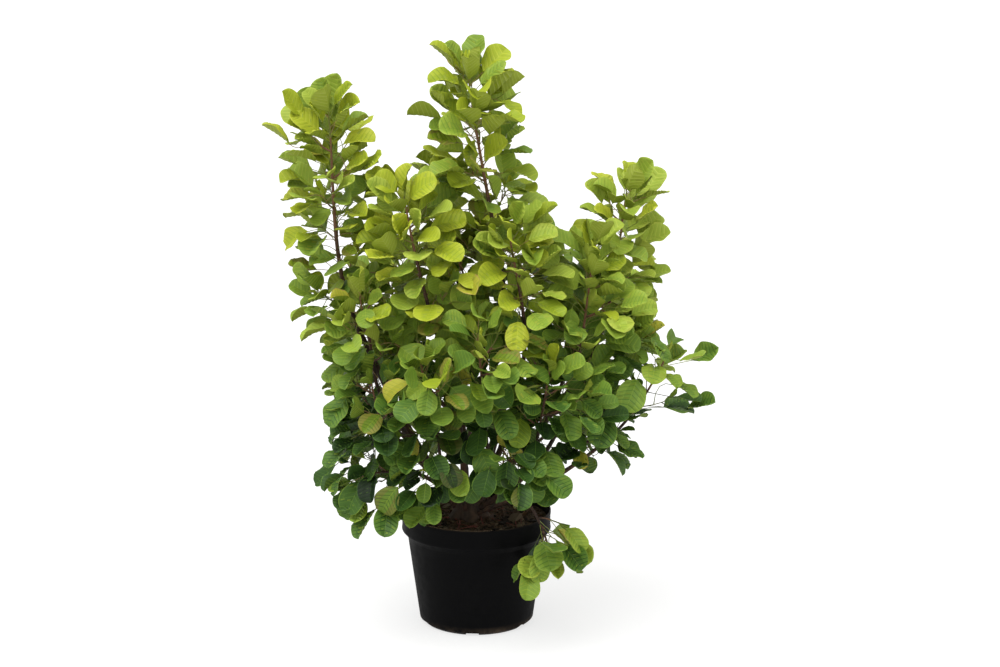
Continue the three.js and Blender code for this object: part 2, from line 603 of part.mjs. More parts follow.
// A leaf and its stalk as one closed solid. The stalk is three-sided. The blade is flat above, and
// its underside slopes from the stalk's keel out to a thin edge.
function leafSolid(leaf) {
  const corners = (middle, size) => STALK.corners.map(([x, y]) => middle.clone()
    .addScaledVector(leaf.across, x * size).addScaledVector(leaf.normal, y * size));
  const foot = corners(leaf.root, STALK.footShare);
  const neck = corners(leaf.base, 1);
  const rim = [neck[0], ...leaf.outline, neck[1]];
  const faces = [foot];
  for (let i = 0; i < 3; i += 1) {
    const next = (i + 1) % 3;
    faces.push([foot[i], neck[i], neck[next]], [foot[i], neck[next], foot[next]]);
  }
  for (let i = 0; i < rim.length - 1; i += 1) {
    faces.push([neck[2], rim[i + 1], rim[i]]);
    if (i > 0) faces.push([rim[0], rim[i], rim[i + 1]]);
  }
  const solid = toSolid(new THREE.BufferGeometry().setFromPoints(faces.flat()));
  if (solid.volume() > 0) return solid;
  return toSolid(new THREE.BufferGeometry().setFromPoints(
    faces.flatMap(([a, b, c]) => [a, c, b])));
}

// One mass of foliage: its stem, its twigs and its leaves, joined
function foliageSolid(bough, axes, leaves) {
  const wood = axes.filter((axis) => axis.shoot === bough.name).map((axis) => limbSolid(
    axis.curve, axis.foot, axis.tip, axis.sides, axis.steps));
  return tidied(wasm.Manifold.union([...wood, ...leaves.map(leafSolid)]));
}

// A bough before it is cut back
function boughBody(bough, grow = 0) {
  const { sides, steps } = bough.on ? SIDE_BOUGH : MAIN_BOUGH;
  return limbSolid(bough.curve, bough.girth, bough.thin, sides, steps, grow);
}

// A bough, cut back so that it stands clear of the stump or of the bough that carries it
function boughSolid(bough, boughs) {
  const body = boughBody(bough);
  if (!bough.on) return tidied(body.subtract(stumpSolid(SEAM)));
  const carrier = boughs.get(bough.on);
  return tidied(body.subtract(boughBody(carrier, SEAM)));
}

function buildBush() {
  const bush = new THREE.Group();
  const boughs = growBoughs();
  const limbs = [...boughs.values()].flatMap((bough) => piecesOf(
    bough.curve, bough.girth, bough.thin, PIECES_PER_LIMB));
  const stems = [...boughs.values()].map((bough) => makeAxis(
    bough.name, bough.stem, { ...STEM, foot: bough.thin }, bough.seed));
  const axes = [...stems];
  for (const bough of boughs.values()) {
    const fits = (twig) => twigFits(twig, bough.name, stems, limbs);
    growTwigs(bough, fits).forEach((twig, i) => {
      axes.push(makeAxis(bough.name, twig, TWIG, i + bough.seed));
    });
  }
  bush.add(namedMesh('stump', stumpSolid(), FINISH.bark));
  for (const bough of boughs.values()) {
    bush.add(namedMesh(`bough_${bough.name}`, boughSolid(bough, boughs), FINISH.bark));
    const leaves = growLeaves(bough, axes, limbs);
    const finish = bough.habit === 'skirt' ? FINISH.leafLow : FINISH.leafHigh;
    bush.add(namedMesh(`foliage_${bough.name}`, foliageSolid(bough, axes, leaves), finish));
  }
  return bush;
}

const pottedBush = new THREE.Group();
pottedBush.add(namedMesh('pot', potSolid(), FINISH.pot));
pottedBush.add(namedMesh('compost', compostSolid(), FINISH.compost));
pottedBush.add(buildBush());

export default pottedBush;
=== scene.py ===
"""Looks of a smoke bush in a nursery pot, built round its fixed frame.

The bush grows by the same seeded rule as the frame's solids, carried on to finer twigs and to
leaves of nearly life size. The rule works in millimetres and the meshes are made in metres.
"""

import logging
import math
from collections.abc import Callable, Iterable
from dataclasses import dataclass, field
from enum import Enum
from functools import partial
from typing import TypeVar

import bpy
import numpy as np
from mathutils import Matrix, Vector, noise


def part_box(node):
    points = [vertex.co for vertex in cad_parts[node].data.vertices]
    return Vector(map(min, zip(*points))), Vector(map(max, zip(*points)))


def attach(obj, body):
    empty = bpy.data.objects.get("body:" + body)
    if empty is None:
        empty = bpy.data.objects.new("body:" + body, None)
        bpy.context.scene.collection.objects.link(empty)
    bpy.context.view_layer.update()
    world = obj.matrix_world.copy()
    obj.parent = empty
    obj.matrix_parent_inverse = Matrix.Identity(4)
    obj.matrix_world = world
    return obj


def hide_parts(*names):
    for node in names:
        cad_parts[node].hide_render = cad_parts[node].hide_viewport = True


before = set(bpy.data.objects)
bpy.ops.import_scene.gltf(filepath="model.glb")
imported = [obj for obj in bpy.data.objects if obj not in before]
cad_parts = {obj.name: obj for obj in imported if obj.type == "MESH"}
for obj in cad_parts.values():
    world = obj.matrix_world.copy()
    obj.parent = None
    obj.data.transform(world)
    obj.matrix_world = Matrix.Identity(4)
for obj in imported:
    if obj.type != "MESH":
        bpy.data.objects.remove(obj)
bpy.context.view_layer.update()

log = logging.getLogger("bush")

MM = 0.001
UP = np.array([0.0, 0.0, 1.0])
GOLDEN_TURN = math.radians(137.5)
ANY_TURN = (0, 6.28)
Socket = bpy.types.NodeSocket
Colour = tuple[int, int, int]


def unit(vectors: np.ndarray) -> np.ndarray:
    """Return the vectors scaled to a length of one."""
    return vectors / np.linalg.norm(vectors, axis=-1, keepdims=True)


def blend(first: float, last: float, share: float) -> float:
    """Return the value that lies a share of the way from first to last."""
    return first + (last - first) * share


def dots(first: np.ndarray, second: np.ndarray) -> np.ndarray:
    """Return the dot products along the last axis."""
    return np.sum(first * second, axis=-1)


def turned(start: np.ndarray, towards: np.ndarray, angle: float) -> np.ndarray:
    """Return start turned by angle towards a direction square to it."""
    return start * math.cos(angle) + towards * math.sin(angle)


def sideways(along: np.ndarray, turn: float) -> np.ndarray:
    """Return a direction square to another.

    Args:
        along: The other, a unit direction.
        turn: How far round it, in radians.

    Returns:
        A unit direction.
    """
    guide = UP if abs(along[2]) < 0.95 else np.array([1.0, 0.0, 0.0])
    across = unit(np.cross(along, guide))
    return turned(across, np.cross(along, across), turn)


def turns_round(count: int) -> np.ndarray:
    """Return the turns of a number of points spread evenly round a circle."""
    return np.arange(count) * 2 * math.pi / count


def circle(radius: float, height: float, turns: np.ndarray) -> list[tuple[float, float, float]]:
    """Return the points of a level circle round the upright axis."""
    return [(radius * math.cos(turn), radius * math.sin(turn), height) for turn in turns]


class SeededRandom:
    """Even random numbers from 0 to 1, the same as the solids use for the same seed."""

    def __init__(self, seed: int) -> None:
        """Start from a whole number."""
        self.state = seed & 0xFFFFFFFF

    def __call__(self) -> float:
        """Draw the next number.

        Returns:
            A number from 0 to 1.
        """
        self.state = (self.state + 0x6D2B79F5) & 0xFFFFFFFF
        mixed = ((self.state ^ (self.state >> 15)) * (self.state | 1)) & 0xFFFFFFFF
        mixed ^= (mixed + (mixed ^ (mixed >> 7)) * (mixed | 61)) & 0xFFFFFFFF
        return (mixed ^ (mixed >> 14)) / 4294967296

    def either(self, spread: float) -> float:
        """Return a number as likely below nothing as above it, within half the spread."""
        return spread * (self() - 0.5)


# Growth, in millimetres


@dataclass(frozen=True)
class Habit:
    """How leaves sit on a shoot. Angles are degrees.

    low and high are their pitch at its foot and its tip, outward is how far they turn away from
    the bush, and spread and gather are their angle from the shoot at its foot and its tip.
    facing is how far those at its foot turn to the light in front, loose is how unevenly they
    are held, and stalk lengthens their stalks.
    """

    low: float
    high: float
    outward: float
    spread: float
    gather: float
    twig_reach: float
    rise: float
    facing: float
    loose: float
    stalk: float = 1.0


class Habits(Enum):
    """The ways in which the bush's shoots grow."""

    COLUMN = Habit(-12, 52, 0.1, 60, 42, 50, 0.45, 0.6, 0.55)
    SPRAY = Habit(-26, 34, 0.3, 66, 34, 80, 0.45, 0.3, 0.9)
    SKIRT = Habit(-50, -12, 0.6, 70, 46, 66, -0.25, 0.8, 1.0, 1.2)
    REACHING = Habit(-8, 10, 0.3, 72, 50, 50, 0.45, 0.1, 0.35, 1.7)


@dataclass(frozen=True)
class OnStump:
    """A bough's foot on the stump, at a bearing in degrees and a height above the compost."""

    bearing: float
    rise: float


@dataclass(frozen=True)
class OnBough:
    """A bough's foot on another bough, at a share of its length."""

    name: str
    share: float


@dataclass(frozen=True)
class Shoot:
    """A bough that passes through via to enter, and the leafy shoot from there to tip."""

    name: str
    foot: OnStump | OnBough
    via: tuple[float, float, float]
    enter: tuple[float, float, float]
    tip: tuple[float, float, float]
    girth: float
    thin: float
    habit: Habits
    twigs: int
    seed: int
    leaf_seed: int
    sparse: float = 1.0
    large: float = 1.0
    lighter: float = 0.0


COLUMN, SPRAY, SKIRT, REACHING = Habits
SHOOTS = (
    Shoot("left_column", OnStump(182, 26), (-108, -16, 345), (-222, -10, 580),
          (-274, -12, 1000), 11, 5.2, COLUMN, 6, 14, 48, sparse=0.94, large=0.93, lighter=-0.5),
    Shoot("tall_column", OnStump(60, 44), (52, 6, 430), (57, 0, 628),
          (-14, 0, 1074), 9.5, 5, COLUMN, 6, 25, 974),
    Shoot("middle_left", OnStump(236, 32), (-34, -52, 412), (-74, -70, 592),
          (-132, -70, 850), 7.5, 4.2, COLUMN, 4, 35, 1012, lighter=0.9),
    Shoot("middle_back", OnStump(112, 34), (-28, 62, 420), (-34, 88, 620),
          (-50, 92, 850), 7, 4, COLUMN, 3, 355, 532),
    Shoot("centre_front", OnStump(287, 34), (62, -62, 400), (92, -80, 560),
          (62, -84, 800), 6.5, 4, COLUMN, 4, 63, 718, lighter=1.5),
    Shoot("right_back", OnStump(40, 30), (122, 32, 372), (212, 40, 500),
          (286, 40, 836), 7.5, 4.2, COLUMN, 5, 67, 312, sparse=1.15, lighter=0.7),
    Shoot("right_front", OnStump(325, 26), (92, -44, 300), (150, -62, 386),
          (222, -66, 752), 7, 4, COLUMN, 5, 380, 720),
    Shoot("low_right", OnStump(2, 22), (118, -22, 272), (242, -28, 360),
          (362, -34, 536), 6.5, 3.4, REACHING, 0, 85, 240, sparse=3.0, large=1.15),
    Shoot("left_shoulder", OnBough("left_column", 0.5), (-168, -52, 440), (-190, -72, 510),
          (-216, -92, 670), 5, 3.4, SPRAY, 4, 98, 93),
    Shoot("left_flank", OnBough("left_column", 0.34), (-126, -84, 380), (-150, -112, 410),
          (-196, -140, 520), 5, 3.2, SPRAY, 4, 415, 649),
    Shoot("left_low", OnBough("left_column", 0.3), (-148, 8, 352), (-186, 12, 386),
          (-206, 14, 482), 4.6, 3, SPRAY, 3, 117, 872),
    Shoot("left_skirt", OnBough("left_column", 0.22), (-104, -74, 312), (-142, -92, 326),
          (-226, -112, 318), 4.6, 2.8, SKIRT, 4, 430, 207, sparse=1.7, large=1.15),
    Shoot("right_skirt", OnStump(303, 10), (66, -92, 268), (108, -128, 260),
          (140, -156, 190), 4.2, 2.6, SKIRT, 2, 443, 985, sparse=1.6, large=1.2, lighter=0.4),
    Shoot("right_low", OnBough("low_right", 0.4), (158, -56, 330), (190, -74, 362),
          (258, -94, 440), 4, 2.6, SPRAY, 3, 151, 172, sparse=1.4),
    Shoot("front_left", OnBough("middle_left", 0.4), (-58, -92, 350), (-68, -112, 372),
          (-100, -182, 560), 5, 3.2, SPRAY, 5, 473, 25),
    Shoot("front_centre", OnBough("centre_front", 0.4), (30, -92, 344), (22, -112, 372),
          (6, -184, 610), 5, 3.2, SPRAY, 5, 165, 655),
    Shoot("front_right", OnBough("right_front", 0.5), (104, -92, 346), (110, -116, 372),
          (138, -178, 560), 5, 3.2, SPRAY, 5, 173, 952),
    Shoot("front_skirt_left", OnStump(258, 18), (-36, -84, 296), (-44, -112, 316),
          (-92, -192, 360), 5, 3, SKIRT, 4, 490, 28),
    Shoot("front_skirt_right", OnBough("centre_front", 0.2), (42, -94, 304), (50, -118, 318),
          (66, -200, 384), 4.6, 3, SKIRT, 4, 199, 325),
    Shoot("centre_left", OnBough("tall_column", 0.62), (10, -26, 560), (-4, -40, 592),
          (-34, -56, 742), 4.8, 3.2, SPRAY, 3, 507, 30, lighter=1.6),
    Shoot("right_shoulder", OnBough("right_back", 0.62), (212, 0, 440), (232, -14, 466),
          (284, -34, 612), 4.8, 3, SPRAY, 4, 203, 1141),
    Shoot("back_left", OnBough("middle_back", 0.42), (-84, 112, 420), (-108, 136, 462),
          (-176, 176, 640), 5.4, 3.4, SPRAY, 3, 209, 106, large=1.14),
    Shoot("back_centre", OnBough("tall_column", 0.4), (62, 84, 440), (60, 112, 492),
          (52, 196, 706), 5.4, 3.4, SPRAY, 3, 211, 884, large=1.14),
    Shoot("back_right", OnBough("right_back", 0.52), (158, 92, 422), (172, 116, 462),
          (214, 176, 630), 5.2, 3.2, SPRAY, 3, 223, 811, large=1.14),
    Shoot("back_skirt_left", OnBough("left_column", 0.2), (-110, 72, 318), (-138, 98, 334),
          (-212, 158, 368), 4.8, 3, SKIRT, 2, 235, 220),
    Shoot("back_skirt", OnBough("middle_back", 0.2), (-16, 106, 330), (-12, 136, 348),
          (0, 224, 386), 4.8, 3, SKIRT, 2, 247, 1035),
    Shoot("back_skirt_right", OnBough("right_back", 0.28), (116, 88, 328), (142, 114, 342),
          (214, 166, 372), 4.8, 3, SKIRT, 2, 259, 222),
)


@dataclass(frozen=True)
class Curve:
    """A Bezier curve that follows three or four handles."""

    handles: np.ndarray

    def _levels(self, share: float | np.ndarray, left: int) -> list[np.ndarray]:
        """Draw the handles together until only some are left.

        Args:
            share: One share of the curve, or an array of them.
            left: How many points to stop at.

        Returns:
            That many points for each share.
        """
        step = np.asarray(share, float)[..., None]
        rows = list(self.handles)
        while len(rows) > left:
            rows = [blend(near, far, step) for near, far in zip(rows, rows[1:])]
        return rows

    def at(self, share: float | np.ndarray) -> np.ndarray:
        """Return the points at shares of the curve."""
        return self._levels(share, 1)[0]

    def heading(self, share: float | np.ndarray) -> np.ndarray:
        """Return the unit directions at shares of the curve."""
        near, far = self._levels(share, 2)
        return unit(far - near)

    def length(self) -> float:
        """Return the curve's length."""
        points = self.at(np.linspace(0, 1, 201))
        return float(np.linalg.norm(np.diff(points, axis=0), axis=1).sum())


@dataclass(frozen=True)
class Straights:
    """Straight round pieces, as arrays of their ends and radii."""

    start: np.ndarray
    end: np.ndarray
    radius: np.ndarray

    @classmethod
    def along(cls, curve: Curve, foot: float, tip: float, count: int = 10) -> "Straights":
        """Cut a tapering limb into straight pieces.

        Args:
            curve: Its middle line.
            foot: Its radius at the foot.
            tip: Its radius at the tip.
            count: How many pieces to cut.

        Returns:
            The pieces.
        """
        shares = np.linspace(0, 1, count + 1)
        points = curve.at(shares)
        return cls(points[:-1], points[1:], blend(foot, tip, shares[:-1]))

    def near(self, spot: np.ndarray, reach: float) -> "Straights":
        """Return the pieces that start within reach of a spot."""
        kept = np.linalg.norm(self.start - spot, axis=1) < reach
        return Straights(self.start[kept], self.end[kept], self.radius[kept])

    def gaps(self, spots: np.ndarray) -> np.ndarray:
        """Return how far each spot lies from the middle line of each piece.

        Args:
            spots: Points, as rows.

        Returns:
            A row of distances for each spot.
        """
        line = self.end - self.start
        offset = spots[:, None] - self.start
        share = np.clip(dots(offset, line) / np.maximum(dots(line, line), 1e-9), 0, 1)
        return np.linalg.norm(offset - share[..., None] * line, axis=-1)


@dataclass(frozen=True)
class Blades:
    """Leaf blades as flat plates, each with its own directions, in arrays."""

    root: np.ndarray
    base: np.ndarray
    heading: np.ndarray
    along: np.ndarray
    across: np.ndarray
    normal: np.ndarray
    length: np.ndarray
    width: np.ndarray
    progress: np.ndarray

    OUTLINE = ((0.3, -0.4), (0.8, -0.47), (1.0, 0.0), (0.8, 0.47), (0.3, 0.4))

    @classmethod
    def one(cls, *values: np.ndarray | float) -> "Blades":
        """Return a set of one blade, from its values in the order of the fields."""
        return cls(*(np.array([value], float) for value in values))

    def kept(self, which: np.ndarray) -> "Blades":
        """Return some of the blades."""
        return Blades(*(getattr(self, name)[which] for name in self.__dataclass_fields__))

    def spot(self, u: float, v: float) -> np.ndarray:
        """Return the points at a share u along each blade and a share v across it."""
        return (self.base + self.along * (u * self.length)[:, None]
                + self.across * (v * self.width)[:, None])

    def outline(self) -> np.ndarray:
        """Return each blade's base and outline points, in an array of blades by points."""
        return np.stack([self.base] + [self.spot(u, v) for u, v in self.OUTLINE], axis=1)

    def pieces(self, edge: float = 0.6, stalk: float = 1.2) -> Straights:
        """Lay straight pieces along the blades' edges, middle lines and stalks.

        Args:
            edge: The radius of an edge or a middle line.
            stalk: The radius of a stalk.

        Returns:
            Eight pieces for each blade.
        """
        rim = self.outline()
        start = np.concatenate([rim, rim[:, :1], self.root[:, None]], axis=1)
        end = np.concatenate([np.roll(rim, -1, axis=1), rim[:, 3:4], rim[:, :1]], axis=1)
        radius = np.array([edge] * 7 + [stalk])
        return Straights(start.reshape(-1, 3), end.reshape(-1, 3),
                         np.tile(radius, len(self.length)))

    def meet(self, pieces: Straights, clearance: float) -> bool:
        """Say whether any of the pieces comes too close to any of the blades.

        Args:
            pieces: Straight pieces.
            clearance: The least gap.

        Returns:
            Whether one does.
        """
        near = pieces.radius + clearance
        middle = self.spot(0.5, 0)
        start = pieces.start[None] - middle[:, None]
        end = pieces.end[None] - middle[:, None]
        ends = [(dots(start, axis[:, None]), dots(end, axis[:, None]))
                for axis in (self.normal, self.along, self.across)]
        below, above = ends[0]
        crossing = np.clip(below / np.where(below == above, 1, below - above), 0, 1)
        for share in (0.0, 0.5, 1.0, crossing):
            height, u, v = (blend(low, high, share) for low, high in ends)
            u = u / (self.length[:, None] / 2 + near)
            v = v / (self.width[:, None] / 2 + near)
            if np.any((np.abs(height) <= near) & (u * u + v * v < 1)):
                return True
        return False


Arrays = TypeVar("Arrays", Straights, Blades)


def joined(parts: Iterable[Arrays]) -> Arrays:
    """Put several sets of straight pieces or of blades together.

    Args:
        parts: The sets, all of one kind.

    Returns:
        One set of that kind.
    """
    listed = list(parts)
    kind = type(listed[0])
    return kind(*(np.concatenate([getattr(part, name) for part in listed])
                  for name in kind.__dataclass_fields__))


@dataclass(frozen=True)
class Axis:
    """A stem, a twig or a twiglet, which can carry leaves."""

    shoot: str
    curve: Curve
    foot: float
    tip: float
    bare: float
    turn: float
    order: int

    def samples(self, step: float = 9) -> np.ndarray:
        """Return points along the axis, for the test of which shoot owns a place."""
        count = max(2, round(self.curve.length() / step))
        return self.curve.at(np.linspace(0, 1, count + 1))

    def pieces(self) -> Straights:
        """Return the axis as straight pieces."""
        return Straights.along(self.curve, self.foot, self.tip)


@dataclass(frozen=True)
class Bough:
    """A grown bough with the stem that carries on from it."""

    shoot: Shoot
    curve: Curve
    stem: Curve


@dataclass(frozen=True)
class PotSizes:
    """The pot's sizes in millimetres. Its height and its rim come from the frame."""

    height: float
    rim: float
    band_height: float = 38
    band_step: float = 9
    shoulder: float = 14
    foot: float = 110
    chamfer: float = 7
    wall: float = 2.6
    floor: float = 3.4
    notches: int = 6
    notch_width: float = 25
    notch_height: float = 8
    notch_depth: float = 17
    notch_turn: float = -4

    def radius_at(self, z: float) -> float:
        """Work out the pot's outer radius.

        Args:
            z: A height above the underside.

        Returns:
            The radius there.
        """
        band_foot = self.height - self.band_height
        wall_top = band_foot - self.shoulder
        top_radius = self.rim - self.band_step - self.wall
        if z >= band_foot:
            return self.rim
        if z >= wall_top:
            return blend(top_radius, self.rim, (z - wall_top) / self.shoulder)
        return blend(self.foot, top_radius, max(z, 0) / wall_top)


@dataclass(frozen=True)
class Clearances:
    """Least gaps, in millimetres, as the solids keep them."""

    bough: float = 1.6
    wood: float = 1.0
    blade: float = 0.8
    twig: float = 6
    space: float = 2.2
    rim: float = 4
    wall: float = 5
    ground: float = 12
    inside_rim: float = 12
    compost: float = 5
    open_sides: tuple[float, float] = (-52, 50)
    open_from: float = -60
    open_foot: float = 229
    open_slope: float = 0.316

    def in_open_front(self, x: float, y: float, z: float) -> bool:
        """Say whether a point hangs before the open stretch of the rim and the compost."""
        left, right = self.open_sides
        return left < x < right and y < self.open_from and z < self.open_foot - self.open_slope * y


@dataclass(frozen=True)
class Twigs:
    """How side shoots of one order leave the axis that carries them.

    They leave it between the shares start and stop. A twig bends out and ends at shares of its
    reach, counted sideways and along.
    """

    foot: float
    tip: float
    bare: float
    start: float
    stop: float
    reach_share: float
    reach_spread: float = 0.4
    turn_spread: float = 0.9
    place_spread: float = 0.4
    bend: tuple[float, float] = (0.5, 0.2)
    end: tuple[float, float] = (0.78, 0.62)
    cuts: tuple[float, ...] = (1, 0.7, 0.45)


@dataclass(frozen=True)
class LeafRule:
    """How big leaves are, how close they sit and how they are held, in millimetres and degrees.

    A leaf that finds no room is squeezed: it gets smaller, turns and stands up along its twig.
    Young leaves stand at the tips.
    """

    length: float = 58
    width_share: float = 0.92
    size_spread: float = 0.36
    tip_size: float = 0.9
    heights: tuple[float, float, float] = (280, 700, 900)
    sizes: tuple[float, float, float] = (0.9, 1.0, 1.12)
    step: float = 7.6
    gather: float = 0.72
    stalk_share: float = 0.74
    stalk_spread: float = 0.5
    stalk_shortens: tuple[float, float] = (1.2, 0.66)
    stalk_radius: float = 1.2
    turn_spread: float = 1.4
    pitch_spread: float = 34
    pitch_gather: float = 1.4
    tries: int = 12
    squeezed_size: float = 0.82
    squeezed_stalk: float = 0.4
    squeezed_turn: float = 2
    squeezed_spread: float = 20
    squeezed_pitch: float = 78
    young_length: float = 27
    young_width_share: float = 0.62
    young_size_spread: float = 0.7
    young_spread: tuple[float, float] = (15, 40)
    young_pitch: tuple[float, float] = (10, 44)
    young_stalk: float = 0.35
    young_count: tuple[int, int, int] = (5, 2, 1)
    young_progress: float = 1.5
    sky: float = 0.8
    outward: float = 0.3
    front: float = 0.38
    wander: float = 0.95
    back_from: float = 70


class Crown:
    """Grows the boughs, twigs and leaves by the solids' rule, carried on to finer twigs."""

    TWIG = Twigs(foot=2.1, tip=1.1, bare=0.3, start=0.06, stop=0.9, reach_share=0.42)
    TWIGLET = Twigs(foot=1.2, tip=0.8, bare=0.35, start=0.2, stop=0.92, reach_share=0.6,
                    bend=(0.36, 0.3), end=(0.66, 0.74))
    TWIG_SHORTENS = (1.1, 0.8)
    TWIGLET_REACH = 46
    TWIGLET_EVERY = 52
    STEM_TIP, STEM_BARE, STEM_HANDLE = 1.5, 0.03, 0.33
    FAR_SHARES = np.arange(2, 7) / 6

    def __init__(self, pot: PotSizes, stump: "StumpSizes", leaf: LeafRule, clear: Clearances) -> None:
        """Grow all the wood. Leaves are grown by grow_leaves().

        Args:
            pot: The pot's sizes.
            stump: The stump's sizes.
            leaf: How leaves grow.
            clear: The least gaps.
        """
        self.pot, self.stump, self.leaf, self.clear = pot, stump, leaf, clear
        self.boughs = self._grow_boughs()
        self.limbs = joined(Straights.along(bough.curve, bough.shoot.girth, bough.shoot.thin)
                            for bough in self.boughs.values())
        stems = [Axis(name, bough.stem, bough.shoot.thin, self.STEM_TIP, self.STEM_BARE,
                      bough.shoot.seed, 0)
                 for name, bough in self.boughs.items()]
        self._map_space(stems)
        self.axes = list(stems)
        for stem in stems:
            self.axes += self._grow_twigs(stem)
        self._map_space(self.axes)
        for axis in list(self.axes):
            self.axes += self._grow_twiglets(axis)

    def _grow_boughs(self) -> dict[str, Bough]:
        """Grow every bough and the stem that carries on from it.

        Returns:
            The boughs by name.
        """
        boughs: dict[str, Bough] = {}
        for shoot in SHOOTS:
            via, enter, tip = (np.array(place, float) for place in (shoot.via, shoot.enter, shoot.tip))
            if isinstance(shoot.foot, OnBough):
                foot = boughs[shoot.foot.name].curve.at(shoot.foot.share)
            else:
                foot = self.stump.bough_foot(shoot.foot)
            curve = Curve(np.array([foot, 2 * via - (foot + enter) / 2, enter]))
            heading = curve.heading(1.0)
            start = enter + heading * self.stump.seam
            reach = np.linalg.norm(tip - start)
            finish = unit(unit(tip - start) + UP * shoot.habit.value.rise)
            stem = Curve(np.array([start, start + heading * reach * self.STEM_HANDLE,
                                   tip - finish * reach * self.STEM_HANDLE, tip]))
            boughs[shoot.name] = Bough(shoot, curve, stem)
        return boughs

    def _map_space(self, axes: list[Axis]) -> None:
        """Note which points are each shoot's own wood and which are another's.

        Args:
            axes: The stems and twigs that have grown.
        """
        samples = [(axis.shoot, axis.samples()) for axis in axes]
        self.space = {}
        for name in self.boughs:
            own = np.concatenate([points for shoot, points in samples if shoot == name])
            other = np.concatenate([points for shoot, points in samples if shoot != name])
            self.space[name] = (own, other)

    def _owned(self, name: str, spots: np.ndarray) -> bool:
        """Say whether all the spots lie nearer to one shoot's wood than to any other's.

        Args:
            name: The shoot's name.
            spots: Points, as rows.

        Returns:
            Whether they do.
        """
        own, other = (
            np.sqrt(((spots[:, None] - wood) ** 2).sum(-1).min(axis=1)) for wood in self.space[name])
        return bool(np.all(own + self.clear.space < other))

    def _clear_of_pot(self, spots: np.ndarray) -> bool:
        """Say whether all the spots are clear of the pot and the compost.

        Args:
            spots: Points, as rows.

        Returns:
            Whether they are.
        """
        floor = self.stump.compost_top + self.clear.compost
        for x, y, z in spots:
            radius = math.hypot(x, y)
            if self.clear.in_open_front(x, y, z):
                return False
            if z > self.pot.height + self.clear.rim:
                continue
            if radius > self.pot.radius_at(z) + self.clear.wall:
                inside = z > self.clear.ground
            else:
                inside = radius < self.pot.rim - self.clear.inside_rim and z > floor
            if not inside:
                return False
        return True

    def _twig_fits(self, name: str, twig: Curve) -> bool:
        """Say whether a twig's far part keeps to its space and clear of boughs.

        Args:
            name: Its shoot's name.
            twig: Its middle line.

        Returns:
            Whether it does.
        """
        far = twig.at(self.FAR_SHARES)
        clear = self.limbs.gaps(far) > self.limbs.radius + self.clear.twig
        return self._clear_of_pot(far) and bool(clear.all()) and self._owned(name, far)

    def _side_shoot(self, axis: Axis, sizes: Twigs, share: float, turn: float,
                    reach: float) -> Curve | None:
        """Return the longest cut of a side shoot that fits, or None.

        Args:
            axis: The stem or twig that carries it.
            sizes: How shoots of its order grow.
            share: Where it leaves the axis.
            turn: Its turn round the axis.
            reach: How far it would reach.

        Returns:
            Its curve, or None where no cut of it fits.
        """
        start, along = axis.curve.at(share), axis.curve.heading(share)
        side = sideways(along, turn)
        for cut in sizes.cuts:
            handles = [start] + [start + (side * out + along * on) * reach * cut
                                 for out, on in (sizes.bend, sizes.end)]
            twig = Curve(np.array(handles))
            if self._twig_fits(axis.shoot, twig):
                return twig
        return None

    def _grow_twigs(self, stem: Axis) -> list[Axis]:
        """Grow a stem's side twigs, which the solids have too.

        Args:
            stem: The stem.

        Returns:
            The twigs.
        """
        shoot = self.boughs[stem.shoot].shoot
        random = SeededRandom(shoot.seed)
        longest = min(self.TWIG.reach_share * stem.curve.length(), shoot.habit.value.twig_reach)
        twigs = []
        for i in range(shoot.twigs):
            place = (i + 0.5 + random.either(self.TWIG.place_spread)) / shoot.twigs
            share = blend(self.TWIG.start, self.TWIG.stop, place)
            turn = i * GOLDEN_TURN + random() * self.TWIG.turn_spread + shoot.seed
            reach = longest * blend(*self.TWIG_SHORTENS, share)
            reach *= 1 + random.either(self.TWIG.reach_spread)
            twig = self._side_shoot(stem, self.TWIG, share, turn, reach)
            if twig is not None:
                twigs.append(Axis(shoot.name, twig, self.TWIG.foot, self.TWIG.tip,
                                  self.TWIG.bare, len(twigs) + shoot.seed, 1))
        return twigs

    def _grow_twiglets(self, axis: Axis) -> list[Axis]:
        """Grow the finer twigs on a stem or a twig.

        Args:
            axis: The stem or twig.

        Returns:
            The finer twigs.
        """
        sizes = self.TWIGLET
        random = SeededRandom(int(axis.turn * 31) + axis.order)
        length = axis.curve.length()
        count = round(length * (1 - axis.bare) / self.TWIGLET_EVERY)
        twiglets = []
        for i in range(count):
            place = (i + 0.5 + random.either(sizes.place_spread)) / count
            share = blend(sizes.start, sizes.stop, place)
            turn = (i + 0.5) * GOLDEN_TURN + random() * sizes.turn_spread + axis.turn
            reach = min(self.TWIGLET_REACH, sizes.reach_share * length)
            reach *= 1 + random.either(sizes.reach_spread)
            twiglet = self._side_shoot(axis, sizes, share, turn, reach)
            if twiglet is not None:
                twiglets.append(Axis(axis.shoot, twiglet, sizes.foot, sizes.tip, sizes.bare,
                                     i + axis.turn, 2))
        return twiglets

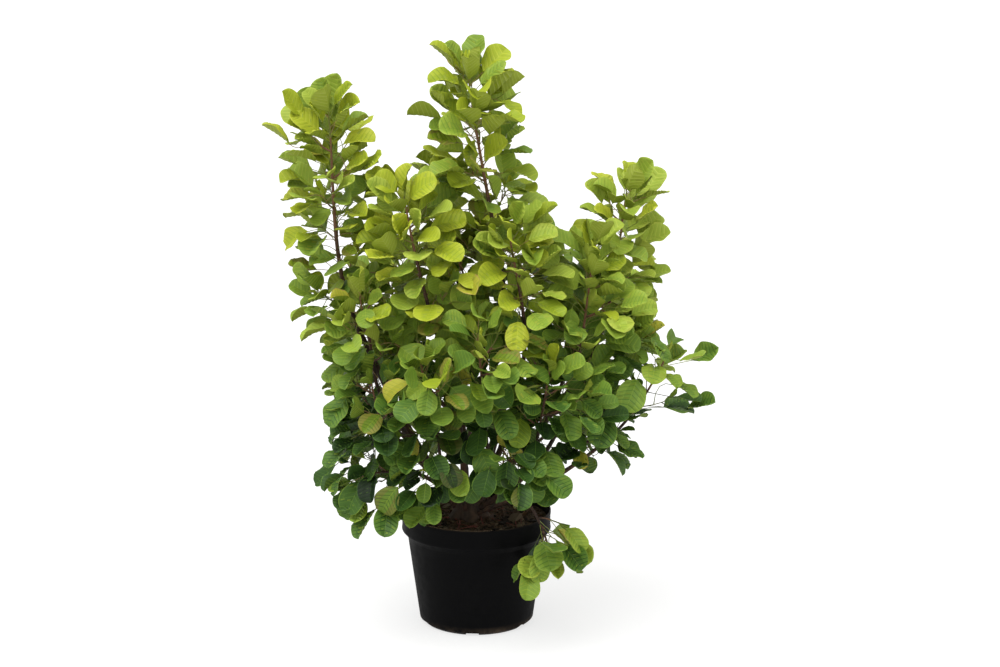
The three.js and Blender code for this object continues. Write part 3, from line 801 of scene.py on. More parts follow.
    def _place_leaf(self, axis: Axis, progress: float, turn: float, squeeze: float,
                    random: SeededRandom) -> Blades:
        """Work out where a leaf would sit and how it is held.

        Args:
            axis: The stem or twig that carries it.
            progress: How far along the leafy part of the axis it sits.
            turn: Its turn round the axis.
            squeeze: From 0 to 1, how much closer than usual it is held along the axis.
            random: The shoot's random numbers.

        Returns:
            The leaf, as a set of one blade.
        """
        rule, habit = self.leaf, self.boughs[axis.shoot].shoot.habit.value
        share = axis.bare + (1 - axis.bare) * progress ** rule.gather
        root, along = axis.curve.at(share), axis.curve.heading(share)
        side = sideways(along, turn + random.either(rule.turn_spread) + rule.squeezed_turn * squeeze)
        size = (1 + random.either(rule.size_spread)) * blend(1, rule.tip_size, progress ** 3)
        size *= np.interp(root[2], rule.heights, rule.sizes)
        size *= self.boughs[axis.shoot].shoot.large
        length = rule.length * size * blend(1, rule.squeezed_size, squeeze)
        stalk = (length * rule.stalk_share * (1 + random.either(rule.stalk_spread))
                 * blend(*rule.stalk_shortens, progress) * blend(1, rule.squeezed_stalk, squeeze)
                 * habit.stalk)
        free = blend(habit.spread, habit.gather, progress ** 2)
        heading = turned(along, side, math.radians(blend(free, rule.squeezed_spread, squeeze)))
        outward = unit(np.array([root[0] - self.stump.x, root[1] - self.stump.y, 0.0]))
        level = unit(unit(heading * [1, 1, 0]) + outward * habit.outward)
        natural = (blend(habit.low, habit.high, progress ** rule.pitch_gather)
                   + random.either(rule.pitch_spread) * habit.loose)
        steep = math.copysign(rule.squeezed_pitch, natural)
        blade = turned(level, UP, math.radians(blend(natural, steep, squeeze)))
        light = UP * rule.sky + outward * rule.outward
        if root[1] < rule.back_from:
            light = light - [0, rule.front * blend(habit.facing, 1, progress), 0]
        light = light + [random.either(rule.wander) * habit.loose for _ in range(3)]
        normal = unit(light - blade * dots(light, blade))
        return Blades.one(root, root + unit(heading + blade) * stalk, heading, blade,
                          unit(np.cross(normal, blade)), normal, length,
                          length * rule.width_share, share)

    def _leaf_fits(self, leaf: Blades, wood: Straights, placed: list[Blades]) -> bool:
        """Say whether a leaf touches no wood, pot or other leaf.

        Args:
            leaf: The leaf, as a set of one blade.
            wood: Every stem and twig.
            placed: The leaves that have grown already.

        Returns:
            Whether it can grow there.
        """
        spots = np.concatenate([leaf.outline()[0], leaf.spot(0.5, 0)])
        reach = 2 * self.leaf.length
        if not self._clear_of_pot(spots) or leaf.meet(self.limbs, self.clear.bough):
            return False
        if leaf.meet(wood.near(leaf.base[0], reach), self.clear.wood):
            return False
        stalk = blend(leaf.root, leaf.base, np.linspace(0.3, 1, 7)[:, None])
        least = self.limbs.radius + self.leaf.stalk_radius + self.clear.bough
        if np.any(self.limbs.gaps(stalk) < least):
            return False
        if not placed:
            return True
        bases = np.concatenate([other.base for other in placed])
        near = np.nonzero(np.linalg.norm(bases - leaf.base, axis=1) < reach)[0]
        if not len(near):
            return True
        others = joined(placed[i] for i in near)
        return not (others.meet(leaf.pieces(), self.clear.blade)
                    or leaf.meet(others.pieces(), self.clear.blade))

    def grow_leaves(self) -> dict[str, Blades]:
        """Grow every shoot's leaves, shoot by shoot, and then the young ones.

        Returns:
            The leaves by the name of their shoot.
        """
        wood = joined(axis.pieces() for axis in self.axes)
        placed: list[Blades] = []
        grown = {}
        for name, bough in self.boughs.items():
            first = len(placed)
            random = SeededRandom(bough.shoot.leaf_seed)
            for axis in self.axes:
                if axis.shoot == name:
                    self._grow_axis_leaves(axis, wood, placed, random)
            grown[name] = placed[first:]
        random = SeededRandom(len(placed))
        for axis in self.axes:
            for i in range(self.leaf.young_count[axis.order]):
                leaf = self._young_leaf(axis, i * GOLDEN_TURN + axis.turn, random)
                if self._leaf_fits(leaf, wood, placed):
                    placed.append(leaf)
                    grown[axis.shoot].append(leaf)
        return {name: joined(leaves) for name, leaves in grown.items()}

    def _young_leaf(self, axis: Axis, turn: float, random: SeededRandom) -> Blades:
        """Return a small folded leaf that stands up from the tip of a stem or a twig.

        Args:
            axis: The stem or twig.
            turn: Its turn round the axis.
            random: Random numbers.

        Returns:
            The leaf, as a set of one blade.
        """
        rule = self.leaf
        root, along = axis.curve.at(1.0), axis.curve.heading(1.0)
        side = sideways(along, turn)
        heading = turned(along, side, math.radians(blend(*rule.young_spread, random())))
        blade = turned(along, side, math.radians(blend(*rule.young_pitch, random())))
        length = rule.young_length * (1 + random.either(rule.young_size_spread))
        normal = unit(blade * dots(side, blade) - side)
        return Blades.one(root, root + heading * length * rule.young_stalk, heading, blade,
                          unit(np.cross(normal, blade)), normal, length,
                          length * rule.young_width_share, rule.young_progress)

    def _grow_axis_leaves(self, axis: Axis, wood: Straights, placed: list[Blades],
                          random: SeededRandom) -> None:
        """Grow one axis's leaves, each squeezed until it fits.

        Args:
            axis: The stem or twig.
            wood: Every stem and twig.
            placed: The leaves that have grown, to which these are added.
            random: The shoot's random numbers.
        """
        length = axis.curve.length() * (1 - axis.bare)
        step = self.leaf.step * self.boughs[axis.shoot].shoot.sparse
        count = max(2, round(length / step))
        for i in range(count):
            for attempt in range(self.leaf.tries):
                squeeze = attempt / (self.leaf.tries - 1)
                leaf = self._place_leaf(axis, (i + 0.6) / count, i * GOLDEN_TURN + axis.turn,
                                        squeeze, random)
                if self._leaf_fits(leaf, wood, placed):
                    placed.append(leaf)
                    break


# Meshes


class Slot(Enum):
    """The record's material slots."""

    PLASTIC = "pot_plastic"
    COMPOST = "compost"
    BARK = "bark"
    LEAVES = "leaves"


def place(name: str, data: bpy.types.ID) -> bpy.types.Object:
    """Put a mesh, a lamp or a camera into the scene.

    Args:
        name: The object's name.
        data: The mesh, lamp or camera.

    Returns:
        The object.
    """
    thing = bpy.data.objects.new(name, data)
    bpy.context.scene.collection.objects.link(thing)
    return thing


class Shape:
    """Points in millimetres and faces, gathered before their mesh is made."""

    def __init__(self) -> None:
        """Start with nothing."""
        self.points: list[np.ndarray] = []
        self.faces: list[np.ndarray] = []
        self.finishes: list[np.ndarray] = []
        self.count = 0

    def add(self, points: np.ndarray, faces: np.ndarray, finish: int | np.ndarray = 0) -> None:
        """Add points and faces.

        Args:
            points: The points.
            faces: Faces that count from the first of them.
            finish: The finish of the faces, one for all or one each.
        """
        self.add_faces(np.asarray(faces) + self.count, finish)
        self.points.append(np.asarray(points, float).reshape(-1, 3))
        self.count += len(self.points[-1])

    def add_faces(self, faces: np.ndarray, finish: int | np.ndarray = 0) -> None:
        """Add faces between points that are there already, which count from the very first."""
        self.faces.append(np.asarray(faces, np.int32))
        self.finishes.append(np.broadcast_to(finish, len(faces)))

    def add_rings(self, rings: np.ndarray, finish: int | np.ndarray = 0) -> None:
        """Add a solid drawn through rings of points and closed at both ends.

        Args:
            rings: The points, in an array of rings by sides.
            finish: The finish of its faces, one for all or one for each step between rings.
        """
        count, sides = rings.shape[:2]
        finishes = np.repeat(np.broadcast_to(finish, count - 1), sides)
        start = self.count
        self.add(rings, rings_faces(count, sides), finishes)
        self.add_faces(cap_faces(count, sides) + start, finishes[[0, -1]])

    def piece(self, name: str, materials: list[bpy.types.Material], slot: Slot,
              nodes: Iterable[str], sharp: float = 40) -> bpy.types.Object:
        """Make the mesh as one smooth-shaded piece that rides on the frame.

        Args:
            name: The piece's name.
            materials: Its materials, in the order of the faces' finishes.
            slot: A slot of the record. It is not used.
            nodes: The frame's nodes that it replaces.
            sharp: Edges that bend by more than this many degrees stay sharp.

        Returns:
            The new object.
        """
        mesh = bpy.data.meshes.new(name)
        points = np.concatenate(self.points) * MM
        corners = np.concatenate([faces.ravel() for faces in self.faces])
        sides = np.concatenate([np.full(len(faces), faces.shape[1]) for faces in self.faces])
        mesh.vertices.add(len(points))
        mesh.vertices.foreach_set("co", points.ravel())
        mesh.loops.add(len(corners))
        mesh.loops.foreach_set("vertex_index", corners)
        mesh.polygons.add(len(sides))
        mesh.polygons.foreach_set("loop_start", np.cumsum(sides) - sides)
        used, finishes = np.unique(np.concatenate(self.finishes), return_inverse=True)
        mesh.polygons.foreach_set("material_index", finishes.ravel())
        mesh.update(calc_edges=True)
        mesh.shade_smooth()
        mesh.set_sharp_from_angle(angle=math.radians(sharp))
        for finish in used:
            mesh.materials.append(materials[finish])
        thing = place(name, mesh)
        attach(thing, "root")
        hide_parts(*nodes)
        log.info("%s: %d faces", name, len(sides))
        return thing


def rings_faces(rings: int, sides: int) -> np.ndarray:
    """Join rings of points, each closed on itself, into quads.

    Args:
        rings: How many rings.
        sides: How many points each has.

    Returns:
        The quads.
    """
    ring, side = np.meshgrid(np.arange(rings - 1), np.arange(sides), indexing="ij")
    near, far = ring * sides, (ring + 1) * sides
    following = (side + 1) % sides
    return np.stack([near + side, near + following, far + following, far + side], -1).reshape(-1, 4)


def cap_faces(rings: int, sides: int) -> np.ndarray:
    """Return the two many-sided faces that close the ends of rings of points."""
    foot = np.arange(sides)[::-1]
    return np.stack([foot, (rings - 1) * sides + np.arange(sides)])


Relief = Callable[[float, np.ndarray], np.ndarray]


def add_tube(shape: Shape, curve: Curve, rings: int, sides: int,
             radius: Callable[[float], float], finish: int | np.ndarray = 0,
             relief: Relief | None = None) -> None:
    """Add a limb drawn out along a curve.

    Args:
        shape: What it is added to.
        curve: Its middle line.
        rings: How many cross-sections it has.
        sides: How many points each has.
        radius: The radius at a share of its length.
        finish: The finish of its faces, one for all or one for each ring of them.
        relief: How far the bark stands out at a share and at turns round the limb.
    """
    shares = np.linspace(0, 1, rings)
    middles, headings = curve.at(shares), curve.heading(shares)
    turns = turns_round(sides)
    across = np.array([1.0, 0.0, 0.0]) if abs(headings[0][0]) < 0.8 else UP
    points = []
    for share, middle, along in zip(shares, middles, headings):
        across = unit(across - along * dots(across, along))
        over = np.cross(along, across)
        reach = np.full(sides, radius(share))
        if relief is not None:
            reach = reach + relief(share, turns)
        points.append(middle + reach[:, None] * (np.cos(turns)[:, None] * across
                                                 + np.sin(turns)[:, None] * over))
    shape.add_rings(np.array(points), finish)


# Finishes


class Nodes:
    """Adds shader nodes to a tree and links them by the names of their sockets."""

    def __init__(self, tree: bpy.types.NodeTree) -> None:
        """Work on one tree, from nothing."""
        self.tree = tree
        tree.nodes.clear()

    def add(self, kind: str, values: dict[str | int, object] | None = None,
            **settings: object) -> bpy.types.Node:
        """Add a node.

        Args:
            kind: Its type, without the common first part.
            values: What its inputs are set to or linked from, by socket name or number.
            settings: Its own settings.

        Returns:
            The node.
        """
        node = self.tree.nodes.new("ShaderNode" + kind)
        for name, value in settings.items():
            setattr(node, name, value)
        for name, value in (values or {}).items():
            if isinstance(value, Socket):
                self.tree.links.new(value, node.inputs[name])
            else:
                node.inputs[name].default_value = value
        return node

    def mix(self, share: Socket | float, first: object, second: object) -> Socket:
        """Return a colour mixed from two by a share."""
        node = self.add("Mix", {0: share, 6: first, 7: second}, data_type="RGBA")
        return node.outputs[2]

    def span(self, value: Socket, low: float, high: float, start: float = 0.0,
             stop: float = 1.0) -> Socket:
        """Stretch a value to a new span and hold it there.

        Args:
            value: The value.
            low: Where its old span starts.
            high: Where its old span ends.
            start: Where its new span starts.
            stop: Where its new span ends.

        Returns:
            The stretched value.
        """
        node = self.add("MapRange", {"Value": value, "From Min": low, "From Max": high,
                                     "To Min": start, "To Max": stop})
        return node.outputs["Result"]


def new_material(name: str) -> tuple[bpy.types.Material, Nodes]:
    """Make an empty material.

    Args:
        name: Its name.

    Returns:
        The material and the means to add its nodes.
    """
    material = bpy.data.materials.new(name)
    material.use_nodes = True
    return material, Nodes(material.node_tree)


def linear(colour: Colour) -> tuple[float, float, float, float]:
    """Return a screen colour of 0 to 255 as the shader's linear colour."""
    parts = [value / 255 for value in colour]
    return (*(p / 12.92 if p <= 0.04045 else ((p + 0.055) / 1.055) ** 2.4 for p in parts), 1.0)


class Effects:
    """Shader node groups that several finishes place with their own values."""

    PATCH_SPAN, LIE_SPAN, GRAIN_SPAN = (0.35, 0.65), (0.1, 0.9), (0.4, 0.7)

    def __init__(self) -> None:
        """Build the groups once."""
        self.mottle = self._mottle()
        self.dust = self._dust()

    @staticmethod
    def _group(name: str, inputs: dict[str, float], outputs: Iterable[str]) -> bpy.types.NodeTree:
        """Make an empty group with plain number sockets.

        Args:
            name: Its name.
            inputs: Its inputs and their first values.
            outputs: Its outputs.

        Returns:
            The group.
        """
        tree = bpy.data.node_groups.new(name, "ShaderNodeTree")
        for label, value in inputs.items():
            socket = tree.interface.new_socket(label, in_out="INPUT", socket_type="NodeSocketFloat")
            socket.default_value = value
        for label in outputs:
            tree.interface.new_socket(label, in_out="OUTPUT", socket_type="NodeSocketFloat")
        return tree

    def _mottle(self) -> bpy.types.NodeTree:
        """Build the effect of patches and fine grain, drawn out upwards at will.

        Returns:
            The group.
        """
        tree = self._group("mottle", {"Scale": 40.0, "Grain": 6.0, "Draw": 1.0}, ("Patches", "Height"))
        nodes = Nodes(tree)
        given = nodes.add("NewGeometry").outputs["Position"]
        ins = tree.nodes.new("NodeGroupInput")
        drawn = nodes.add("CombineXYZ", {"X": 1.0, "Y": 1.0, "Z": ins.outputs["Draw"]}).outputs[0]
        place = nodes.add("VectorMath", {0: given, 1: drawn}, operation="MULTIPLY").outputs[0]
        broad = nodes.add("TexNoise", {"Vector": place, "Scale": ins.outputs["Scale"],
                                       "Detail": 5.0, "Roughness": 0.6}).outputs[0]
        fine_scale = nodes.add("Math", {0: ins.outputs["Scale"], 1: ins.outputs["Grain"]},
                               operation="MULTIPLY").outputs[0]
        fine = nodes.add("TexNoise", {"Vector": place, "Scale": fine_scale, "Detail": 4.0,
                                      "Roughness": 0.65}).outputs[0]
        height = nodes.add("Math", {0: broad, 1: fine}, operation="ADD").outputs[0]
        outs = tree.nodes.new("NodeGroupOutput")
        tree.links.new(nodes.span(broad, *self.PATCH_SPAN), outs.inputs["Patches"])
        tree.links.new(height, outs.inputs["Height"])
        return tree

    def _dust(self) -> bpy.types.NodeTree:
        """Build the effect of dust on upward faces and between two heights.

        Returns:
            The group.
        """
        tree = self._group("dust", {"Amount": 0.5, "Scale": 30.0, "Low": 0.0, "High": 0.2},
                           ("Mask",))
        nodes = Nodes(tree)
        shape = nodes.add("NewGeometry")
        ins = tree.nodes.new("NodeGroupInput")
        up = nodes.add("SeparateXYZ", {0: shape.outputs["Normal"]}).outputs["Z"]
        lies = nodes.span(up, *self.LIE_SPAN)
        height = nodes.add("SeparateXYZ", {0: shape.outputs["Position"]}).outputs["Z"]
        foot = nodes.add("MapRange", {"Value": height, "From Min": ins.outputs["Low"], "To Min": 1.0,
                                      "From Max": ins.outputs["High"], "To Max": 0.0}).outputs[0]
        where = nodes.add("Math", {0: lies, 1: foot}, operation="MAXIMUM").outputs[0]
        grain = nodes.add("TexNoise", {"Vector": shape.outputs["Position"], "Detail": 8.0,
                                       "Scale": ins.outputs["Scale"], "Roughness": 0.7}).outputs[0]
        patchy = nodes.add("Math", {0: where, 1: nodes.span(grain, *self.GRAIN_SPAN)},
                           operation="MULTIPLY").outputs[0]
        mask = nodes.add("Math", {0: patchy, 1: ins.outputs["Amount"]}, operation="MULTIPLY",
                         use_clamp=True).outputs[0]
        outs = tree.nodes.new("NodeGroupOutput")
        tree.links.new(mask, outs.inputs["Mask"])
        return tree


@dataclass(frozen=True)
class PlainFinish:
    """One even colour, for the many small parts that are joined into a piece."""

    name: str
    colour: Colour
    roughness: float = 0.5
    shine: float = 0.5

    def material(self) -> bpy.types.Material:
        """Make the material on first use, and find it after that.

        Returns:
            The material.
        """
        found = bpy.data.materials.get(self.name)
        if found:
            return found
        material, nodes = new_material(self.name)
        shader = nodes.add("BsdfPrincipled", {"Base Color": linear(self.colour),
                                              "Roughness": self.roughness,
                                              "Specular IOR Level": self.shine})
        nodes.add("OutputMaterial", {"Surface": shader.outputs[0]})
        return material


@dataclass(frozen=True)
class MottledFinish:
    """A rough surface of two colours in patches, with fine relief and dust."""

    name: str
    dark: Colour
    pale: Colour
    dust: Colour
    scale: float
    grain: float = 6.0
    draw: float = 1.0
    dust_amount: float = 0.4
    dust_scale: float = 40.0
    dust_heights: tuple[float, float] = (0.0, 0.001)
    roughness: tuple[float, float] = (0.7, 0.95)
    shine: float = 0.5
    relief: float = 0.0006
    strength: float = 0.6

    def material(self, effects: Effects) -> bpy.types.Material:
        """Make the material.

        Args:
            effects: The effects that it places.

        Returns:
            The material.
        """
        material, nodes = new_material(self.name)
        mottle = nodes.add("Group", {"Scale": self.scale, "Grain": self.grain, "Draw": self.draw},
                           node_tree=effects.mottle)
        low, high = self.dust_heights
        dust = nodes.add("Group", {"Amount": self.dust_amount, "Scale": self.dust_scale,
                                   "Low": low, "High": high}, node_tree=effects.dust)
        patches, mask = mottle.outputs["Patches"], dust.outputs["Mask"]
        body = nodes.mix(patches, linear(self.dark), linear(self.pale))
        bump = nodes.add("Bump", {"Strength": self.strength, "Distance": self.relief,
                                  "Height": mottle.outputs["Height"]})
        shader = nodes.add("BsdfPrincipled", {
            "Base Color": nodes.mix(mask, body, linear(self.dust)),
            "Roughness": nodes.span(patches, 0, 1, *self.roughness),
            "Specular IOR Level": self.shine, "Normal": bump.outputs[0]})
        nodes.add("OutputMaterial", {"Surface": shader.outputs[0]})
        return material


class LeafTints:
    """The bush's greens as two ladders of even tints, warm and cool, and the rarer colours, with the
    undersides' tints lightened as painted light.
    """

    # Steps of these ladders are dealt out partly as painted light and painted shade.
    WARM: tuple[Colour, ...] = ((24, 39, 13), (55, 79, 23), (96, 123, 37), (136, 157, 41),
                                (166, 179, 44), (188, 193, 64))
    COOL: tuple[Colour, ...] = ((21, 39, 14), (46, 76, 26), (86, 120, 43), (121, 149, 52),
                                (150, 172, 58), (178, 190, 76))
    STEPS = 14
    ROUGH, ROUGH_BELOW, SHINE = 0.5, 0.6, 0.22
    YELLOW: tuple[Colour, ...] = ((166, 166, 50), (180, 178, 64), (178, 150, 84), (150, 158, 56))
    BRONZE: tuple[Colour, ...] = ((70, 78, 32), (102, 108, 42), (134, 132, 54), (158, 150, 70))
    # Undersides: a paler green, made lighter and yellower still as painted light that stands in for light
    # shining through the leaf.
    UNDER: tuple[Colour, ...] = ((70, 98, 34), (112, 134, 44), (150, 164, 58), (168, 178, 82))

    def __init__(self) -> None:
        """Make every tint's material."""
        self.materials: list[bpy.types.Material] = []
        for name, anchors in (("warm", self.WARM), ("cool", self.COOL)):
            places = np.linspace(0, len(anchors) - 1, self.STEPS)
            channels = np.array(anchors, float).T
            colours = np.stack([np.interp(places, range(len(anchors)), one) for one in channels], 1)
            self._add(name, colours, self.ROUGH)
        self.yellow = self._add("yellow", self.YELLOW, self.ROUGH)
        self.bronze = self._add("bronze", self.BRONZE, self.ROUGH)
        self.under = self._add("under", self.UNDER, self.ROUGH_BELOW)

    def _add(self, name: str, colours: Iterable[Colour], roughness: float) -> int:
        """Add a family of materials.

        Args:
            name: The family's name.
            colours: Its colours.
            roughness: How rough they all are.

        Returns:
            The number of its first.
        """
        first = len(self.materials)
        self.materials += [
            PlainFinish(f"leaf_{name}_{i}", tuple(colour), roughness, self.SHINE).material()
            for i, colour in enumerate(colours)]
        return first

    def zones(self, tint: np.ndarray, cool: np.ndarray, mottled_with_groove_shade: np.ndarray,
              turning: np.ndarray) -> np.ndarray:
        """Return the materials of each leaf's zones.

        Args:
            tint: Each leaf's place on its ladder.
            cool: Whether each leaf is of the cool family.
            mottled_with_groove_shade: Whether each leaf is lighter towards its edge, and bronze there if
                warm, with its veins darker as painted shade in the grooves.
            turning: Whether each leaf has turned yellow.

        Returns:
            A row for each leaf, with a material for each of the zones.
        """
        pale = 2 + (tint < 5)
        # Veins of mottled leaves go two steps darker: painted shade in the grooves between the puffed
        # panels. Other veins are paler, the leaf's own colour.
        vein = tint + np.where(mottled_with_groove_shade & (tint > 2), -2, 1 + (tint > 4))
        steps = [tint, tint + mottled_with_groove_shade, tint + pale, vein, tint + pale]
        green = np.clip(np.stack(steps, axis=1), 0, self.STEPS - 1) + self.STEPS * cool[:, None]
        edge = self.bronze + np.clip(tint // 3, 0, 3)
        bronzed = mottled_with_groove_shade & (cool == 0) & (tint < 9)
        green[:, 1:3] = np.where(bronzed[:, None], edge[:, None], green[:, 1:3])
        upper = np.where(turning[:, None], self.yellow + np.array([0, 1, 2, 3, 3]), green)
        # Undersides take these lightened tints, lighter under lighter leaves: painted light shining
        # through.
        underside_glow = self.under + np.clip(tint // 4, 0, 2)
        return np.concatenate([upper, underside_glow[:, None], underside_glow[:, None] + 1], axis=1)


# The leaves


class Zone(Enum):
    """The parts of a leaf that have a colour of their own."""

    INNER = 0
    OUTER = 1
    RIM = 2
    VEIN = 3
    MIDRIB = 4
    UNDER = 5
    UNDER_VEIN = 6


@dataclass
class LeafPattern:
    """The mesh of one leaf: rows of faces between side veins, above and below.

    A point has its share u along the blade, its share v across to the edge, its side, how far it
    stands up between the veins, whether it lies on a vein, and whether it is above or below.
    """

    veins: int = 6
    columns: tuple[float, ...] = (0.0, 0.45, 0.93, 1.0)
    puff: tuple[float, ...] = (0.3, 1.0, 0.6, 0.0)
    sweep: float = 0.44
    first_vein: float = 0.06
    last_vein: float = 0.8
    vein_half: float = 0.012
    vein_narrows: float = 0.6
    tip: tuple[tuple[float, float], ...] = ((0.91, 1.0), (0.965, 0.5), (1.0, 0.0))
    u: np.ndarray = field(init=False)
    v: np.ndarray = field(init=False)
    side: np.ndarray = field(init=False)
    bulge: np.ndarray = field(init=False)
    vein: np.ndarray = field(init=False)
    face: np.ndarray = field(init=False)
    quads: np.ndarray = field(init=False)
    zones: np.ndarray = field(init=False)

    def __post_init__(self) -> None:
        """Lay out the lines from the midrib to the edge, then the faces between them."""
        centres = np.linspace(self.first_vein, self.last_vein, self.veins)
        ends = np.concatenate([[0], centres, [1]])
        lines = [(0.0, 0.0, 0.0)]
        for i, centre in enumerate(centres):
            lines.append(((ends[i] + centre) / 2, 0.0, 1.0))
            lines += [(centre, -self.vein_half, 0.0), (centre, self.vein_half, 0.0)]
        lines += [(u, 0.0, lifted) for u, lifted in self.tip]
        rows = []
        for side in (1, -1):
            for centre, offset, lifted in lines:
                for v, puff in zip(self.columns, self.puff):
                    u = (centre + (centre ** self.sweep - centre) * v
                         + offset * (1 - self.vein_narrows * v))
                    rows.append((u, v, side, lifted * puff, float(offset != 0)))
        one = np.array(rows)
        self._faces(len(lines), len(self.columns), len(one))
        both = np.concatenate([one, one])
        self.u, self.v, self.side, self.bulge, self.vein = both.T
        self.face = np.repeat([1.0, -1.0], len(one))

    def _faces(self, lines: int, columns: int, sheet: int) -> None:
        """Join the points of the upper sheet into quads, and turn the lower over.

        Args:
            lines: How many lines run from the midrib to the edge.
            columns: How many points each line has.
            sheet: How many points the upper sheet has.
        """
        half = sheet // 2
        quads, zones = [], []
        for line in range(lines - 1):
            on_vein = line % 3 == 2 and line < lines - len(self.tip)
            near, far = line * columns, (line + 1) * columns
            quads.append((half + near, near, far, half + far))
            zones.append(Zone.MIDRIB.value)
            for column in range(columns - 1):
                right = (near + column, near + column + 1, far + column + 1, far + column)
                quads += [right, tuple(half + corner for corner in right[::-1])]
                zone = Zone.VEIN if on_vein else (Zone.INNER, Zone.OUTER, Zone.RIM)[column]
                if column == columns - 2:
                    zone = Zone.RIM
                zones += [zone.value] * 2
        upper = np.array(quads)[:, ::-1]
        veined = np.isin(zones, (Zone.VEIN.value, Zone.MIDRIB.value))
        below = np.where(veined, Zone.UNDER_VEIN.value, Zone.UNDER.value)
        self.quads = np.concatenate([upper, upper[:, ::-1] + sheet])
        self.zones = np.concatenate([zones, below])


@dataclass
class LeafForm:
    """How far each leaf is folded, bent, waved, twisted and puffed up between its veins.

    Each is an array with a value for every leaf. Angles are radians.
    """

    slim: np.ndarray
    fold: np.ndarray
    bend: np.ndarray
    cup: np.ndarray
    wave: np.ndarray
    phase: np.ndarray
    twist: np.ndarray
    puff: np.ndarray
    crumple: np.ndarray

    SLIM, FOLD, BEND, CUP = (0.8, 1), (4, 26), (-0.14, 0.38), (0.04, 0.09)
    WAVE, TWIST, PUFF, CRUMPLE = (0.014, 0.06), (0, 0.26), (0.018, 0.054), (0.004, 0.03)

    @classmethod
    def drawn(cls, random: np.random.Generator, young: np.ndarray) -> "LeafForm":
        """Draw the leaves' forms.

        Args:
            random: The shoot's random numbers.
            young: How young each leaf is. Young ones are folded more.

        Returns:
            The forms.
        """
        count = len(young)
        fold = np.radians(random.uniform(*cls.FOLD, count) + young * random.uniform(*cls.FOLD, count))
        return cls(random.uniform(*cls.SLIM, count), fold, random.normal(*cls.BEND, count),
                   random.normal(*cls.CUP, count), random.uniform(*cls.WAVE, count),
                   random.uniform(*ANY_TURN, count), random.normal(*cls.TWIST, count),
                   random.uniform(*cls.PUFF, count), random.uniform(*cls.CRUMPLE, count))


@dataclass
class Leaves:
    """Builds the blades of one mass of foliage. wedge and blunt shape a blade's foot and tip."""

    pattern: LeafPattern
    thick: float = 0.5
    rib: float = 0.55
    vein_below: float = 0.45
    wedge: float = 0.64
    blunt: float = 0.42

    WAVES, PUFF_WAVES, CRUMPLES = 10, 17, 13

    def half_width(self, u: np.ndarray) -> np.ndarray:
        """Work out how wide a blade is along its length.

        Args:
            u: Shares of its length.

        Returns:
            Its half width there, as a share of its widest.
        """
        widest = self.wedge / (self.wedge + self.blunt)
        u = np.clip(u, 0, 1)
        return (u / widest) ** self.wedge * ((1 - u) / (1 - widest)) ** self.blunt

    def points(self, blades: Blades, form: LeafForm) -> np.ndarray:
        """Shape the leaves.

        Args:
            blades: The leaves.
            form: Their forms.

        Returns:
            Every point of every leaf, in an array of leaves by points.
        """
        pattern = self.pattern
        u, v, side = pattern.u[None], pattern.v[None], pattern.side[None]
        length, width = blades.length[:, None], (blades.width * form.slim)[:, None]
        rib = self.rib * (1 - 0.75 * u)
        out = rib + v * np.maximum(self.half_width(u) * width / 2 - rib, -rib)
        fold, bend = form.fold[:, None], form.bend[:, None]
        edge = out / (width / 2)
        lift = out * np.sin(fold) + form.cup[:, None] * width * edge ** 2
        phase = form.phase[:, None]
        wave = np.sin(self.WAVES * u + phase + 1.9 * side)
        lift = lift + form.wave[:, None] * length * wave * edge ** 3
        y = side * out * np.cos(fold)
        twist = form.twist[:, None] * u
        y, lift = y * np.cos(twist) - lift * np.sin(twist), lift * np.cos(twist) + y * np.sin(twist)
        uneven = 1 + 0.6 * np.sin(self.PUFF_WAVES * u + 3 * phase + 2 * side)
        lift = lift + form.puff[:, None] * length * pattern.bulge * uneven
        crumple = np.sin(self.CRUMPLES * u + 2 * phase + 4 * v * side) * v * (1 - 0.5 * v)
        lift = lift + form.crumple[:, None] * length * crumple
        lift = lift + pattern.face * self.thick / 2 * (v < 1)
        lift = lift - self.vein_below * pattern.vein * (pattern.face < 0) * (1 - v)
        angle = bend * u
        x = length * u * (1 - angle ** 2 / 6) - lift * np.sin(angle)
        z = length * u * angle / 2 + lift * np.cos(angle)
        return (blades.base[:, None] + blades.along[:, None] * x[..., None]
                + blades.across[:, None] * y[..., None] + blades.normal[:, None] * z[..., None])

    def add(self, shape: Shape, blades: Blades, form: LeafForm, zones: np.ndarray) -> None:
        """Add leaves to a shape.

        Args:
            shape: What they are added to.
            blades: The leaves.
            form: Their forms.
            zones: The finish of each zone of each leaf.
        """
        points = self.points(blades, form)
        starts = np.arange(len(points)) * points.shape[1]
        quads = (self.pattern.quads[None] + starts[:, None, None]).reshape(-1, 4)
        shape.add(points, quads, zones[:, self.pattern.zones].ravel())


